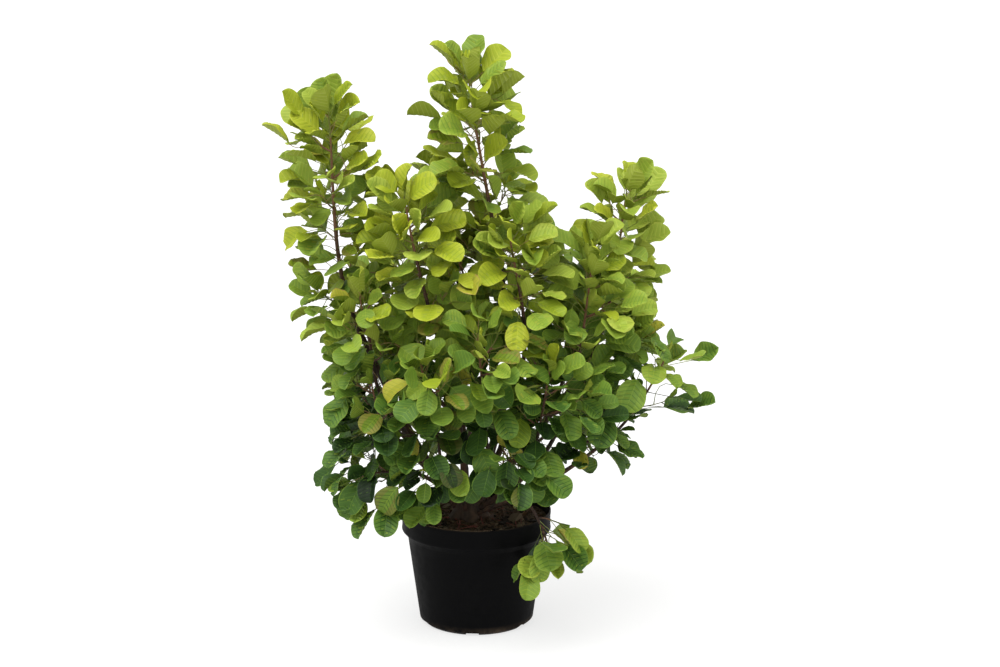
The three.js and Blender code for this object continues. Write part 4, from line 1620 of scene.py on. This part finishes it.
@dataclass
class Stalks:
    """Builds the leaves' stalks, which bend from the twig's side into the midrib."""

    places: tuple[float, ...] = (0, 0.25, 0.8, 1)
    radii: tuple[float, ...] = (1.15, 0.72, 0.72, 0.8)
    into_blade: float = 1.5
    below_blade: float = 0.5

    SIDES, RINGS = 5, 5

    def add(self, shape: Shape, blades: Blades, finish: np.ndarray) -> None:
        """Add the stalks of a set of leaves.

        Args:
            shape: What they are added to.
            blades: The leaves.
            finish: The finish of each stalk.
        """
        reach = np.linalg.norm(blades.base - blades.root, axis=1)
        chord = unit(blades.base - blades.root)
        handle = reach / 2 / np.maximum(dots(chord, blades.heading), 0.5)
        bend = blades.root + blades.heading * handle[:, None]
        end = blades.base + blades.along * self.into_blade - blades.normal * self.below_blade
        shares = np.linspace(0, 1, self.RINGS)[None, :, None]
        root, bend, end = (value[:, None] for value in (blades.root, bend, end))
        middles = blend(blend(root, bend, shares), blend(bend, end, shares), shares)
        along = unit(blend(bend - root, end - bend, shares))
        flat = unit(np.cross(blades.heading, blades.along) + 1e-3 * blades.across)[:, None]
        flat = unit(flat - along * dots(flat, along)[..., None])
        over = np.cross(along, flat)
        radius = np.interp(shares[0, :, 0], self.places, self.radii)[None, :, None, None]
        turns = turns_round(self.SIDES)
        ring = (np.cos(turns)[:, None] * flat[:, :, None] + np.sin(turns)[:, None] * over[:, :, None])
        points = middles[:, :, None] + ring * radius
        count = self.RINGS * self.SIDES
        starts = np.arange(len(points)) * count
        quads = rings_faces(self.RINGS, self.SIDES)
        first = shape.count
        shape.add(points, (quads[None] + starts[:, None, None]).reshape(-1, 4),
                  np.repeat(finish, len(quads)))
        caps = (cap_faces(self.RINGS, self.SIDES)[None] + starts[:, None, None]).reshape(-1, self.SIDES)
        shape.add_faces(caps + first, np.repeat(finish, 2))


class Foliage:
    """Dresses every shoot: its stem and twigs, its stalks and its leaves."""

    WOOD: tuple[PlainFinish, ...] = (
        PlainFinish("stem_old", (62, 44, 34), 0.8),
        PlainFinish("stem_brown", (96, 68, 49), 0.7),
        PlainFinish("stem_red", (126, 88, 61), 0.6),
        PlainFinish("stem_green", (118, 120, 52), 0.6),
        PlainFinish("stalk_deep", (74, 84, 34), 0.6),
        PlainFinish("stalk_green", (128, 140, 56), 0.6),
        PlainFinish("stalk_pink", (150, 122, 76), 0.6),
    )
    RING_EVERY, SIDES = 7, (8, 6, 5)
    AGES, STEM_PACE, TWIG_PACE, ORDER_YOUNGER, HIGH_YOUNGER = (0.2, 0.45, 0.82), 0.75, 0.9, 0.34, 0.35
    MOTTLED_FROM, TURNING, PINK = 0.036, 0.012, 0.35
    HEIGHTS = (130.0, 230.0, 320.0, 400.0, 500.0, 600.0, 800.0, 1100.0)
    # Tint steps by height: partly the leaves' own green, partly painted light and painted shade.
    LIGHTNESS_AND_PAINTED_LIGHT = (5.4, 4.5, 2.2, 1.7, 4.5, 6.6, 8.8, 9.0)
    TOP, FOOT = 1060.0, 260.0
    # The last of these darkens leaves deep inside the bush and lightens those outside: painted shade and
    # painted light.
    MIDDLE_X, DEEP, HALF_SPREAD, OUTSIDE_LIGHTER = 10, 1.25, 300, 2.0
    UNEVEN_HEIGHTS, UNEVEN = (300, 800), (1.8, 0.7)
    COOL_HEIGHTS, COOL = (300, 1000), (0.9, 0.2)
    COOL_SIDES, SIDE_COOL = (-260, -160, 60, 240), (0.35, 0.0, 0.0, 0.4)

    def __init__(self, crown: Crown) -> None:
        """Make the materials and the builders.

        Args:
            crown: The grown crown.
        """
        self.crown = crown
        self.tints = LeafTints()
        self.wood = [finish.material() for finish in self.WOOD]
        self.leaves, self.young = Leaves(LeafPattern()), Leaves(LeafPattern(veins=3))
        self.stalks = Stalks()
        self.count = 0

    def _tints(self, shoot: Shoot, blades: Blades,
               random: np.random.Generator) -> tuple[np.ndarray, np.ndarray]:
        """Deal out the tints: lighter towards the top and outside, darker low and deep inside. By height
        this is partly the leaves' own green, pale when young above and deep when old below, and partly
        painted light and painted shade; deep inside it is painted shade.

        Args:
            shoot: The shoot.
            blades: The shoot's leaves.
            random: The shoot's random numbers.

        Returns:
            Each leaf's place on its ladder, and whether it is of the cool family.
        """
        middle = blades.spot(0.5, 0)
        height = middle[:, 2]
        depth = np.hypot(middle[:, 0] - self.MIDDLE_X, middle[:, 1] * self.DEEP) / self.HALF_SPREAD
        place = np.interp(height, self.HEIGHTS, self.LIGHTNESS_AND_PAINTED_LIGHT) + blades.progress
        # Painted shade: darker tints for leaves deeper inside the bush, lighter ones outside.
        place += self.OUTSIDE_LIGHTER * (depth - 0.6) + shoot.lighter
        place += random.normal(0, 1, len(height)) * np.interp(height, self.UNEVEN_HEIGHTS, self.UNEVEN)
        coolness = np.interp(height, self.COOL_HEIGHTS, self.COOL)
        coolness += np.interp(middle[:, 0], self.COOL_SIDES, self.SIDE_COOL)
        cool = random.random(len(height)) < coolness
        return np.clip(np.round(place), 0, LeafTints.STEPS - 3).astype(int), cool.astype(int)

    def dress(self, name: str, blades: Blades) -> None:
        """Build one shoot's leaves, and its stem, twigs and stalks.

        Args:
            name: The shoot's name.
            blades: Its leaves.
        """
        shoot = self.crown.boughs[name].shoot
        random = np.random.default_rng(shoot.seed)
        young = blades.progress > 1
        forms = [LeafForm.drawn(random, blades.progress[which] ** 2) for which in (~young, young)]
        self.count += len(blades.length)
        tints, cool = self._tints(shoot, blades, random)
        turning = random.random(len(tints)) < self.TURNING
        # The most puffed-up leaves are mottled, and their veins are painted darker as shade in the
        # grooves.
        mottled_with_groove_shade = np.concatenate([form.puff for form in forms]) > self.MOTTLED_FROM
        zones = self.tints.zones(tints, cool, mottled_with_groove_shade, turning)
        shape = Shape()
        self.leaves.add(shape, blades.kept(~young), forms[0], zones[~young])
        self.young.add(shape, blades.kept(young), forms[1], zones[young])
        node = f"foliage_{name}"
        shape.piece(f"leaves_{name}", self.tints.materials, Slot.LEAVES, [node], sharp=80)
        wood = Shape()
        for axis in self.crown.axes:
            if axis.shoot == name:
                self._add_axis(wood, axis)
        pink = (random.random(len(tints)) < self.PINK) * (tints > 7)
        # Stalks of leaves on the lower tint steps take the deeper green, and so carry part of those
        # leaves' painted shade.
        stalk = 4 + (tints > 5).astype(int) + pink
        self.stalks.add(wood, blades, stalk)
        wood.piece(f"twigs_{name}", self.wood, Slot.LEAVES, [node], sharp=80)

    def _add_axis(self, shape: Shape, axis: Axis) -> None:
        """Add a stem or a twig, brown at its foot and green at its tip.

        Args:
            shape: What it is added to.
            axis: The stem or twig.
        """
        length = axis.curve.length()
        rings = max(4, round(length / self.RING_EVERY))
        start, tip = axis.curve.at(0.0), axis.curve.at(1.0)
        shares = np.linspace(0, 1, rings)[:-1]
        heights = blend(start[2], tip[2], shares)
        high = (heights - self.FOOT) / (self.TOP - self.FOOT)
        pace = self.TWIG_PACE if axis.order else self.STEM_PACE
        young = shares * pace + self.ORDER_YOUNGER * axis.order + self.HIGH_YOUNGER * (high - 0.4)
        finish = np.digitize(young, self.AGES)
        add_tube(shape, axis.curve, rings, self.SIDES[axis.order],
                 lambda share: blend(axis.foot, axis.tip, share), finish)


# The woody parts


@dataclass(frozen=True)
class StumpSizes:
    """The stump's sizes in millimetres. Its foot stands just above the compost."""

    compost_top: float
    x: float = -15
    y: float = -8
    height: float = 44
    top: float = 25
    waist: float = 27
    flare: float = 39
    flare_power: float = 2.4
    lean: float = 4
    lobes: int = 5
    lobe_depth: float = 0.12
    lobe_turn: float = 0.6
    ridge: float = 2.2
    worn: float = 3
    worn_from: float = 0.85
    worn_over: float = 0.15
    dome: float = 1.5
    bump: float = 1.2
    seam: float = 0.35
    bough_sunk: float = 12

    def middle(self, rise: float) -> np.ndarray:
        """Return the middle of the stump at a height above the compost."""
        return np.array([self.x + self.lean * rise / self.height, self.y,
                         self.compost_top + self.seam + rise])

    def bough_foot(self, foot: OnStump) -> np.ndarray:
        """Work out where a bough starts inside the stump.

        Args:
            foot: Its place on the stump.

        Returns:
            The point.
        """
        inset = 0.1 if foot.rise >= self.height else 0.55
        bearing = math.radians(foot.bearing)
        out = np.array([math.cos(bearing), math.sin(bearing), 0])
        return self.middle(foot.rise - self.bough_sunk) + out * inset * self.top


@dataclass
class Stump:
    """The lobed stump with ridged bark and a weathered top."""

    sizes: StumpSizes

    SIDES, RINGS = 96, 34

    def build(self, bark: bpy.types.Material) -> None:
        """Build the stump's mesh.

        Args:
            bark: Its material.
        """
        sizes, shape, points = self.sizes, Shape(), []
        bearings = turns_round(self.SIDES)
        for rise in np.linspace(0, 1, self.RINGS):
            flare = (1 - rise) ** sizes.flare_power
            lobe = 1 + sizes.lobe_depth * (0.4 + flare) * np.cos(sizes.lobes * bearings + sizes.lobe_turn)
            plain = blend(sizes.waist, sizes.top, rise)
            worn = sizes.worn * max(0, rise - sizes.worn_from) / sizes.worn_over
            radius = (plain + (sizes.flare - plain) * flare) * lobe - worn
            middle = sizes.middle(rise * sizes.height)
            ridges = [noise.fractal(Vector(place), 0.8, 2.2, 5)
                      for place in circle(4.5, 1.4 * rise, bearings)]
            radius = radius + sizes.ridge * np.array(ridges)
            points.append(middle + np.stack([radius * np.cos(bearings), radius * np.sin(bearings),
                                             np.zeros(self.SIDES)], axis=1))
        top = sizes.middle(sizes.height)
        for share in (0.8, 0.5, 0.2):
            ring = top + (points[self.RINGS - 1] - top) * share
            bumps = np.array([noise.noise(Vector(spot) * 0.15) for spot in ring])
            ring[:, 2] += sizes.dome * (1 - share) + sizes.bump * bumps
            points.append(ring)
        shape.add_rings(np.array(points))
        shape.piece("stump_bark", [bark], Slot.BARK, ["stump"], sharp=60)


@dataclass
class Boughs:
    """All the boughs, each a tapering limb with ridged bark, old buds and a collar at its foot.

    ridge, swell, bud and collar are shares of a bough's radius.
    """

    crown: Crown
    ring_every: float = 4.5
    node_every: float = 34
    slimmer: float = 0.97
    ridge: float = 0.13
    swell: float = 0.05
    swell_reach: float = 2.6
    bud: float = 0.22
    collar: float = 0.45
    collar_reach: float = 10
    grain_round: float = 2.6
    grain_along: float = 26

    MAIN_SIDES, SIDE_SIDES = 16, 12

    def relief(self, bough: Bough, share: float, turns: np.ndarray) -> np.ndarray:
        """Work out how far a bough's bark stands out: its ridges, old buds and collar.

        Args:
            bough: The bough.
            share: The share of its length.
            turns: The turns round it.

        Returns:
            The relief for each turn.
        """
        shoot, reach = bough.shoot, share * bough.curve.length()
        along = reach / self.grain_along + shoot.seed % 17
        ridges = [noise.fractal(Vector(place), 0.9, 2.1, 4)
                  for place in circle(self.grain_round, along, turns)]
        step = reach / self.node_every
        nearest = round(step)
        swell = math.exp(-(((step - nearest) * self.node_every / self.swell_reach) ** 2))
        bud = np.maximum(0, np.cos(turns - nearest * GOLDEN_TURN)) ** 3
        collar = self.collar * math.exp(-reach / self.collar_reach)
        return blend(shoot.girth, shoot.thin, share) * (
            self.ridge * np.array(ridges) + swell * (self.swell + self.bud * bud) + collar)

    def build(self, bark: bpy.types.Material) -> None:
        """Build every bough, joined as one piece.

        Args:
            bark: Their material.
        """
        shape = Shape()
        for bough in self.crown.boughs.values():
            shoot = bough.shoot
            rings = max(8, round(bough.curve.length() / self.ring_every))
            sides = self.MAIN_SIDES if isinstance(shoot.foot, OnStump) else self.SIDE_SIDES
            add_tube(shape, bough.curve, rings, sides,
                     lambda share, one=shoot: blend(one.girth, one.thin, share) * self.slimmer,
                     relief=partial(self.relief, bough))
        nodes = [f"bough_{name}" for name in self.crown.boughs]
        shape.piece("boughs_bark", [bark], Slot.BARK, nodes, sharp=70)


# The pot and what is in it


@dataclass
class Pot:
    """The turned pot: rim band, shoulder, tapering wall, foot with drain notches."""

    sizes: PotSizes

    SIDES, SHARP = 144, 35

    def profile(self) -> list[tuple[float, float]]:
        """Draw the wall's section, round from the foot to the inside.

        Returns:
            Its points as radius and height.
        """
        size = self.sizes
        top, band = size.height, size.height - size.band_height
        neck, foot = band - size.shoulder, size.chamfer
        outer = [(z, size.radius_at(z)) for z in np.linspace(foot, neck, 9)]
        section = [(size.foot * 0.5, 0.0), (size.foot - foot - 2, 0.0),
                   (size.foot - foot, 0.3), (size.foot - 1.2, foot - 2.0)]
        section += [(radius, z) for z, radius in outer]
        section += [(size.radius_at(neck) + 1.1, neck + 2.4), (size.rim - 3.5, band - 2.6),
                    (size.rim - 0.9, band - 0.5), (size.rim - 0.1, band + 1.2)]
        section += [(size.rim - 0.7, band + 6), (size.rim - 0.9, band + 10), (size.rim - 0.8, top - 12),
                    (size.rim - 0.1, top - 7.5), (size.rim, top - 2.2), (size.rim - 0.5, top - 0.8),
                    (size.rim - 1.3, top - 0.1), (size.rim - 2.1, top - 0.5),
                    (size.rim - size.wall - 0.1, top - 2.2), (size.rim - size.wall - 0.6, band + 2)]
        section += [(size.rim - size.wall - 3.5, band - 3), (size.radius_at(neck) - size.wall, neck)]
        section += [(radius - size.wall, z) for z, radius in outer[::-1][1:]]
        inner = size.radius_at(foot) - size.wall
        return section + [(inner - 5, size.floor + 1), (inner - 9, size.floor)]

    def build(self, plastic: bpy.types.Material) -> None:
        """Turn the section round and cut the drain notches through the edge of the foot.

        Args:
            plastic: The pot's material.
        """
        turns = turns_round(self.SIDES)
        shape = Shape()
        shape.add_rings(np.array([circle(radius, z, turns) for radius, z in self.profile()]))
        pot = shape.piece("pot_shell", [plastic], Slot.PLASTIC, ["pot"], self.SHARP)
        cutter = self._notches()
        cut = pot.modifiers.new("notches", "BOOLEAN")
        cut.operation, cut.solver, cut.object = "DIFFERENCE", "EXACT", cutter
        graph = bpy.context.evaluated_depsgraph_get()
        whole = bpy.data.meshes.new_from_object(pot.evaluated_get(graph), depsgraph=graph)
        pot.modifiers.clear()
        pot.data = whole
        bpy.data.objects.remove(cutter)
        whole.set_sharp_from_angle(angle=math.radians(self.SHARP))

    def _notches(self) -> bpy.types.Object:
        """Build the arched blocks that cut the notches.

        Returns:
            The blocks.
        """
        mesh, size = bpy.data.meshes.new("notch_cutter"), self.sizes
        half, top, depth, corner = size.notch_width / 2, size.notch_height, size.notch_depth, 3.0
        arch = [(-half, -5), (half, -5), (half, top - corner)]
        arch += [(half - corner * (1 - math.cos(a)), top - corner * (1 - math.sin(a)))
                 for a in np.radians((30, 60, 90))]
        arch += [(-x, z) for x, z in arch[:1:-1]]
        points, faces = [], []
        reach = size.foot - depth / 2 + 2
        for i in range(size.notches):
            turn = math.radians(size.notch_turn + 360 / size.notches * i - 90)
            out = np.array([math.cos(turn), math.sin(turn), 0])
            over = np.array([-out[1], out[0], 0])
            first, count = len(points), len(arch)
            for end in (reach - depth / 2, reach + depth / 2):
                points += [(out * end + over * x + UP * z) * MM for x, z in arch]
            faces.append([first + k for k in range(count)][::-1])
            faces.append([first + count + k for k in range(count)])
            faces += [(first + k, first + (k + 1) % count, first + count + (k + 1) % count,
                       first + count + k) for k in range(count)]
        mesh.from_pydata(points, [], faces)
        return place("notch_cutter", mesh)


@dataclass
class Compost:
    """The crumbly compost, with bark chips, dry leaves and dead sprigs on it.

    It lies at the height top out to the radius mound, then falls away over the width slope.
    """

    pot: PotSizes
    top: float
    below_rim: float = 20
    gap: float = 3.2
    low_gap: float = 0.8
    mound: float = 75
    slope: float = 60
    broad: float = 1.6
    fine: float = 1.3
    chip: tuple[float, float] = (0.9, 0.45)
    crumb: tuple[float, float] = (0.3, 0.75)
    crumb_arc: tuple[float, float] = (-2.25, -1.35)
    random: np.random.Generator = field(default_factory=lambda: np.random.default_rng(5))

    SIDES, RINGS = 160, 44
    CHIPS, CRUMBS, SPRIGS, DRY_LEAVES = 900, 420, 40, 7
    CHIP_FINISHES, SPRIG_FINISHES, LEAF_FINISHES, CRUMB_FINISHES = (0, 4), (4, 6), (6, 8), (1, 4)

    def height_at(self, x: float, y: float) -> float:
        """Work out the height of the compost's surface.

        Args:
            x: How far right.
            y: How far back.

        Returns:
            The height.
        """
        edge = self.pot.height - self.below_rim
        rise = 1 - np.clip((math.hypot(x, y) - self.mound) / self.slope, 0, 1)
        broad = noise.noise(Vector((x / 22, y / 22, 3.0)))
        fine = noise.fractal(Vector((x / 6, y / 6, 7.0)), 0.9, 2.1, 4)
        return edge + (self.top - edge) * rise + self.broad * broad + self.fine * fine

    def build(self, soil: bpy.types.Material, litter: list[bpy.types.Material]) -> None:
        """Build the compost, then what lies on it.

        Args:
            soil: The compost's material.
            litter: The materials of what lies on it.
        """
        pot, shape = self.pot, Shape()
        turns = turns_round(self.SIDES)
        outer = pot.rim - pot.wall - self.gap
        points = np.array([circle(radius, 0.0, turns)
                           for radius in np.linspace(outer, 1.5, self.RINGS)])
        points[..., 2] = [[self.height_at(x, y) for x, y, _ in ring] for ring in points]
        neck = pot.height - pot.band_height - pot.shoulder
        below = [(pot.radius_at(z) - pot.wall - self.low_gap, z) for z in (neck, neck / 2, 9.0)]
        walls = [circle(radius, z, turns) for radius, z in [(below[2][0] - 8, 4.2), *below[::-1]]]
        shape.add_rings(np.concatenate([np.array(walls), points]))
        shape.piece("compost_bed", [soil], Slot.COMPOST, ["compost"], sharp=80)
        chips = Shape()
        for _ in range(self.CHIPS):
            self._add_chip(chips, self.random.integers(*self.CHIP_FINISHES))
        for _ in range(self.SPRIGS):
            self._add_sprig(chips, self.random.integers(*self.SPRIG_FINISHES))
        self._add_dry_leaves(chips)
        for _ in range(self.CRUMBS):
            self._add_crumb(chips, self.random.integers(*self.CRUMB_FINISHES))
        chips.piece("compost_litter", litter, Slot.COMPOST, ["compost"], sharp=30)

    def _spot(self, reach: float, least: float = 0) -> np.ndarray:
        """Pick a spot on the compost.

        Args:
            reach: The greatest radius.
            least: The least radius.

        Returns:
            The spot.
        """
        radius = math.sqrt(self.random.uniform(least ** 2, reach ** 2))
        turn = self.random.uniform(0, 2 * math.pi)
        x, y = radius * math.cos(turn), radius * math.sin(turn)
        return np.array([x, y, self.height_at(x, y)])

    def _add_chip(self, shape: Shape, finish: int) -> None:
        """Add a chip of bark or a crumb.

        Args:
            shape: What it is added to.
            finish: Its finish.
        """
        random = self.random
        size = random.lognormal(*self.chip)
        half = np.array([size * random.uniform(0.8, 2.2), size, size * random.uniform(0.25, 0.7)])
        self._add_block(shape, half, self._spot(self.pot.rim - 16), finish)

    def _add_crumb(self, shape: Shape, finish: int) -> None:
        """Add a grain of dry compost on the front of the pot's lip.

        Args:
            shape: What it is added to.
            finish: Its finish.
        """
        turn = self.random.uniform(*self.crumb_arc)
        reach = self.pot.rim - self.random.uniform(0.7, 2.2)
        spot = np.array([reach * math.cos(turn), reach * math.sin(turn), self.pot.height])
        self._add_block(shape, self.random.uniform(*self.crumb, 3), spot, finish)

    def _add_block(self, shape: Shape, half: np.ndarray, spot: np.ndarray, finish: int) -> None:
        """Add a small uneven block.

        Args:
            shape: What it is added to.
            half: Half its length, width and thickness.
            spot: Its middle.
            finish: The finish of its faces.
        """
        random = self.random
        corners = np.array([(x, y, z) for z in (-1, 1) for y in (-1, 1) for x in (-1, 1)], float)
        corners = corners * half * random.uniform(0.55, 1.1, (8, 3))
        turn, tip = random.uniform(*ANY_TURN), random.normal(0, 0.35)
        along = np.array([math.cos(turn) * math.cos(tip), math.sin(turn) * math.cos(tip), math.sin(tip)])
        across = unit(np.cross(UP, along))
        points = spot + corners @ np.array([along, across, np.cross(along, across)])
        faces = [(0, 2, 3, 1), (4, 5, 7, 6), (0, 1, 5, 4), (2, 6, 7, 3), (0, 4, 6, 2), (1, 3, 7, 5)]
        shape.add(points, np.array(faces), finish)

    def _add_sprig(self, shape: Shape, finish: int) -> None:
        """Add a thin dead stem that lies on the compost.

        Args:
            shape: What it is added to.
            finish: Its finish.
        """
        random = self.random
        start = self._spot(self.pot.rim - 42, 44)
        turn, reach = random.uniform(*ANY_TURN), random.uniform(12, 34)
        flat = np.array([math.cos(turn), math.sin(turn), 0])
        middle = start + flat * reach + sideways(flat, random.uniform(*ANY_TURN)) * 4
        end = start + flat * 2 * reach
        for place in (middle, end):
            radius = math.hypot(place[0], place[1])
            place[:2] *= min(1, (self.pot.rim - 18) / radius)
            place[2] = self.height_at(place[0], place[1])
        curve = Curve(np.array([start, middle, end]) + UP * random.uniform(1.5, 5))
        width = random.uniform(0.7, 1.6)
        add_tube(shape, curve, 9, 6, lambda share: width * blend(1, 0.6, share), finish)

    def _add_dry_leaves(self, shape: Shape) -> None:
        """Add dry curled leaves.

        Args:
            shape: What they are added to.
        """
        random, builder = self.random, Leaves(LeafPattern())
        for _ in range(self.DRY_LEAVES):
            spot = self._spot(self.pot.rim - 40, 52) + UP * 4
            turn = random.uniform(*ANY_TURN)
            along = unit(np.array([math.cos(turn), math.sin(turn), random.normal(0, 0.2)]))
            normal = unit(UP + random.normal(0, 0.3, 3))
            normal = unit(normal - along * dots(normal, along))
            length = random.uniform(22, 38)
            start = spot - along * length / 2
            blades = Blades.one(start, start, along, along, np.cross(normal, along), normal,
                                length, length * 0.7, 0.5)
            form = LeafForm(*(np.array([value]) for value in (
                1.0, 0.35, random.normal(0.5, 0.4), 0.1, 0.05, random.uniform(*ANY_TURN),
                random.normal(0, 0.5), 0.04, 0.02)))
            tone = random.integers(*self.LEAF_FINISHES)
            builder.add(shape, blades, form, np.array([[tone] * len(Zone)]))


# The studio


@dataclass(frozen=True)
class Studio:
    """A plain pale floor, soft light and the camera at the photograph's angle."""

    floor: Colour = (160, 160, 159)
    glow: float = 0.68
    bounce: float = 0.36
    backdrop: float = 0.8
    sky: float = 0.94
    sun: float = 2.0
    sun_width: float = 50.0
    sun_turn: tuple[float, float, float] = (17.0, -14.0, 0.0)
    camera_at: tuple[float, float, float] = (0.046, -4.4, 1.62)
    camera_pitch: float = 76.6
    lens: float = 85.25

    def build(self) -> None:
        """Build the studio."""
        self._floor()
        self._light()
        world = bpy.data.worlds.new("studio_sky")
        world.use_nodes = True
        nodes = Nodes(world.node_tree)
        white = (1.0, 1.0, 1.0, 1.0)
        sky = nodes.add("Background", {"Color": white, "Strength": self.sky})
        backdrop = nodes.add("Background", {"Color": white, "Strength": self.backdrop})
        seen = nodes.add("LightPath").outputs["Is Camera Ray"]
        either = nodes.add("MixShader", {0: seen, 1: sky.outputs[0], 2: backdrop.outputs[0]})
        nodes.add("OutputWorld", {"Surface": either.outputs[0]})
        scene = bpy.context.scene
        scene.world = world
        scene.view_settings.view_transform = "Standard"
        camera = bpy.data.cameras.new("camera")
        camera.lens, camera.sensor_width = self.lens, 36.0
        camera.clip_end = 200.0
        scene.camera = place("camera", camera)
        scene.camera.location = self.camera_at
        scene.camera.rotation_euler = (math.radians(self.camera_pitch), 0.0, 0.0)

    def _floor(self) -> None:
        """Lay the floor, wide enough to fill the view."""
        mesh = bpy.data.meshes.new("floor")
        reach = 40.0
        mesh.from_pydata([(-reach, -reach, 0), (reach, -reach, 0), (reach, reach, 0),
                          (-reach, reach, 0)], [], [(0, 1, 2, 3)])
        mesh.materials.append(self._paper())
        place("floor", mesh)

    def _paper(self) -> bpy.types.Material:
        """Make the floor's material, which glows, and less so towards the leaves.

        Returns:
            The material.
        """
        material, nodes = new_material("floor_paper")
        base = {"Base Color": linear(self.floor), "Roughness": 0.9, "Specular IOR Level": 0.1,
                "Emission Color": (1.0, 1.0, 1.0, 1.0)}
        dim = nodes.add("BsdfPrincipled", base | {"Emission Strength": self.bounce})
        pale = nodes.add("BsdfPrincipled", base | {"Emission Strength": self.glow})
        seen = nodes.add("LightPath").outputs["Is Camera Ray"]
        either = nodes.add("MixShader", {0: seen, 1: dim.outputs[0], 2: pale.outputs[0]})
        nodes.add("OutputMaterial", {"Surface": either.outputs[0]})
        return material

    def _light(self) -> None:
        """Hang one soft light far away, above and in front."""
        lamp = bpy.data.lights.new("key_light", "SUN")
        lamp.energy, lamp.angle = self.sun, math.radians(self.sun_width)
        placed = place("key_light", lamp)
        placed.rotation_euler = tuple(math.radians(angle) for angle in self.sun_turn)


BARK = MottledFinish("bark_ridged", dark=(48, 34, 26), pale=(92, 68, 52), dust=(120, 104, 84),
                     scale=90, grain=5, draw=0.25, dust_amount=0.25, relief=0.0009)
STUMP_BARK = MottledFinish("bark_stump", dark=(46, 34, 27), pale=(96, 76, 60),
                           dust=(70, 54, 40), scale=70, grain=6, draw=0.3, dust_amount=0.6,
                           dust_heights=(0.205, 0.235), relief=0.0012)
PLASTIC = MottledFinish("plastic_black", dark=(3, 3, 4), pale=(8, 8, 9), dust=(96, 82, 66),
                        scale=55, grain=14, dust_amount=0.8, dust_scale=26,
                        dust_heights=(0.0, 0.018), roughness=(0.5, 0.65), relief=0.00012,
                        shine=0.07, strength=0.35)
SOIL = MottledFinish("compost_brown", dark=(38, 31, 24), pale=(90, 74, 56), dust=(114, 95, 72),
                     scale=120, grain=6, dust_amount=0.5, dust_scale=90, relief=0.0016,
                     roughness=(0.9, 1.0), shine=0.2, strength=0.9)
LITTER = (
    PlainFinish("chip_dark", (40, 33, 26), 0.95, 0.2),
    PlainFinish("chip_brown", (74, 60, 46), 0.95, 0.2),
    PlainFinish("chip_red", (84, 63, 47), 0.9, 0.2),
    PlainFinish("chip_grey", (104, 92, 74), 0.9, 0.2),
    PlainFinish("sprig_red", (108, 62, 52), 0.8, 0.3),
    PlainFinish("sprig_brown", (84, 62, 46), 0.8, 0.3),
    PlainFinish("dry_leaf_tan", (134, 112, 66), 0.8, 0.3),
    PlainFinish("dry_leaf_brown", (98, 74, 48), 0.8, 0.3),
)


def main() -> None:
    """Build the studio, the pot, the compost, the wood and the foliage, in that order."""
    logging.basicConfig(level=logging.INFO, format="%(message)s")
    Studio().build()
    effects = Effects()
    low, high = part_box("pot")
    pot = PotSizes(height=high.z / MM, rim=(high.x - low.x) / 2 / MM)
    compost_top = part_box("compost")[1].z / MM
    stump = StumpSizes(compost_top=compost_top)
    Pot(pot).build(PLASTIC.material(effects))
    Compost(pot, compost_top).build(SOIL.material(effects), [one.material() for one in LITTER])
    Stump(stump).build(STUMP_BARK.material(effects))
    crown = Crown(pot, stump, LeafRule(), Clearances())
    Boughs(crown).build(BARK.material(effects))
    foliage = Foliage(crown)
    for name, blades in crown.grow_leaves().items():
        foliage.dress(name, blades)
    log.info("%d leaves", foliage.count)


if __name__ == "__main__":
    main()
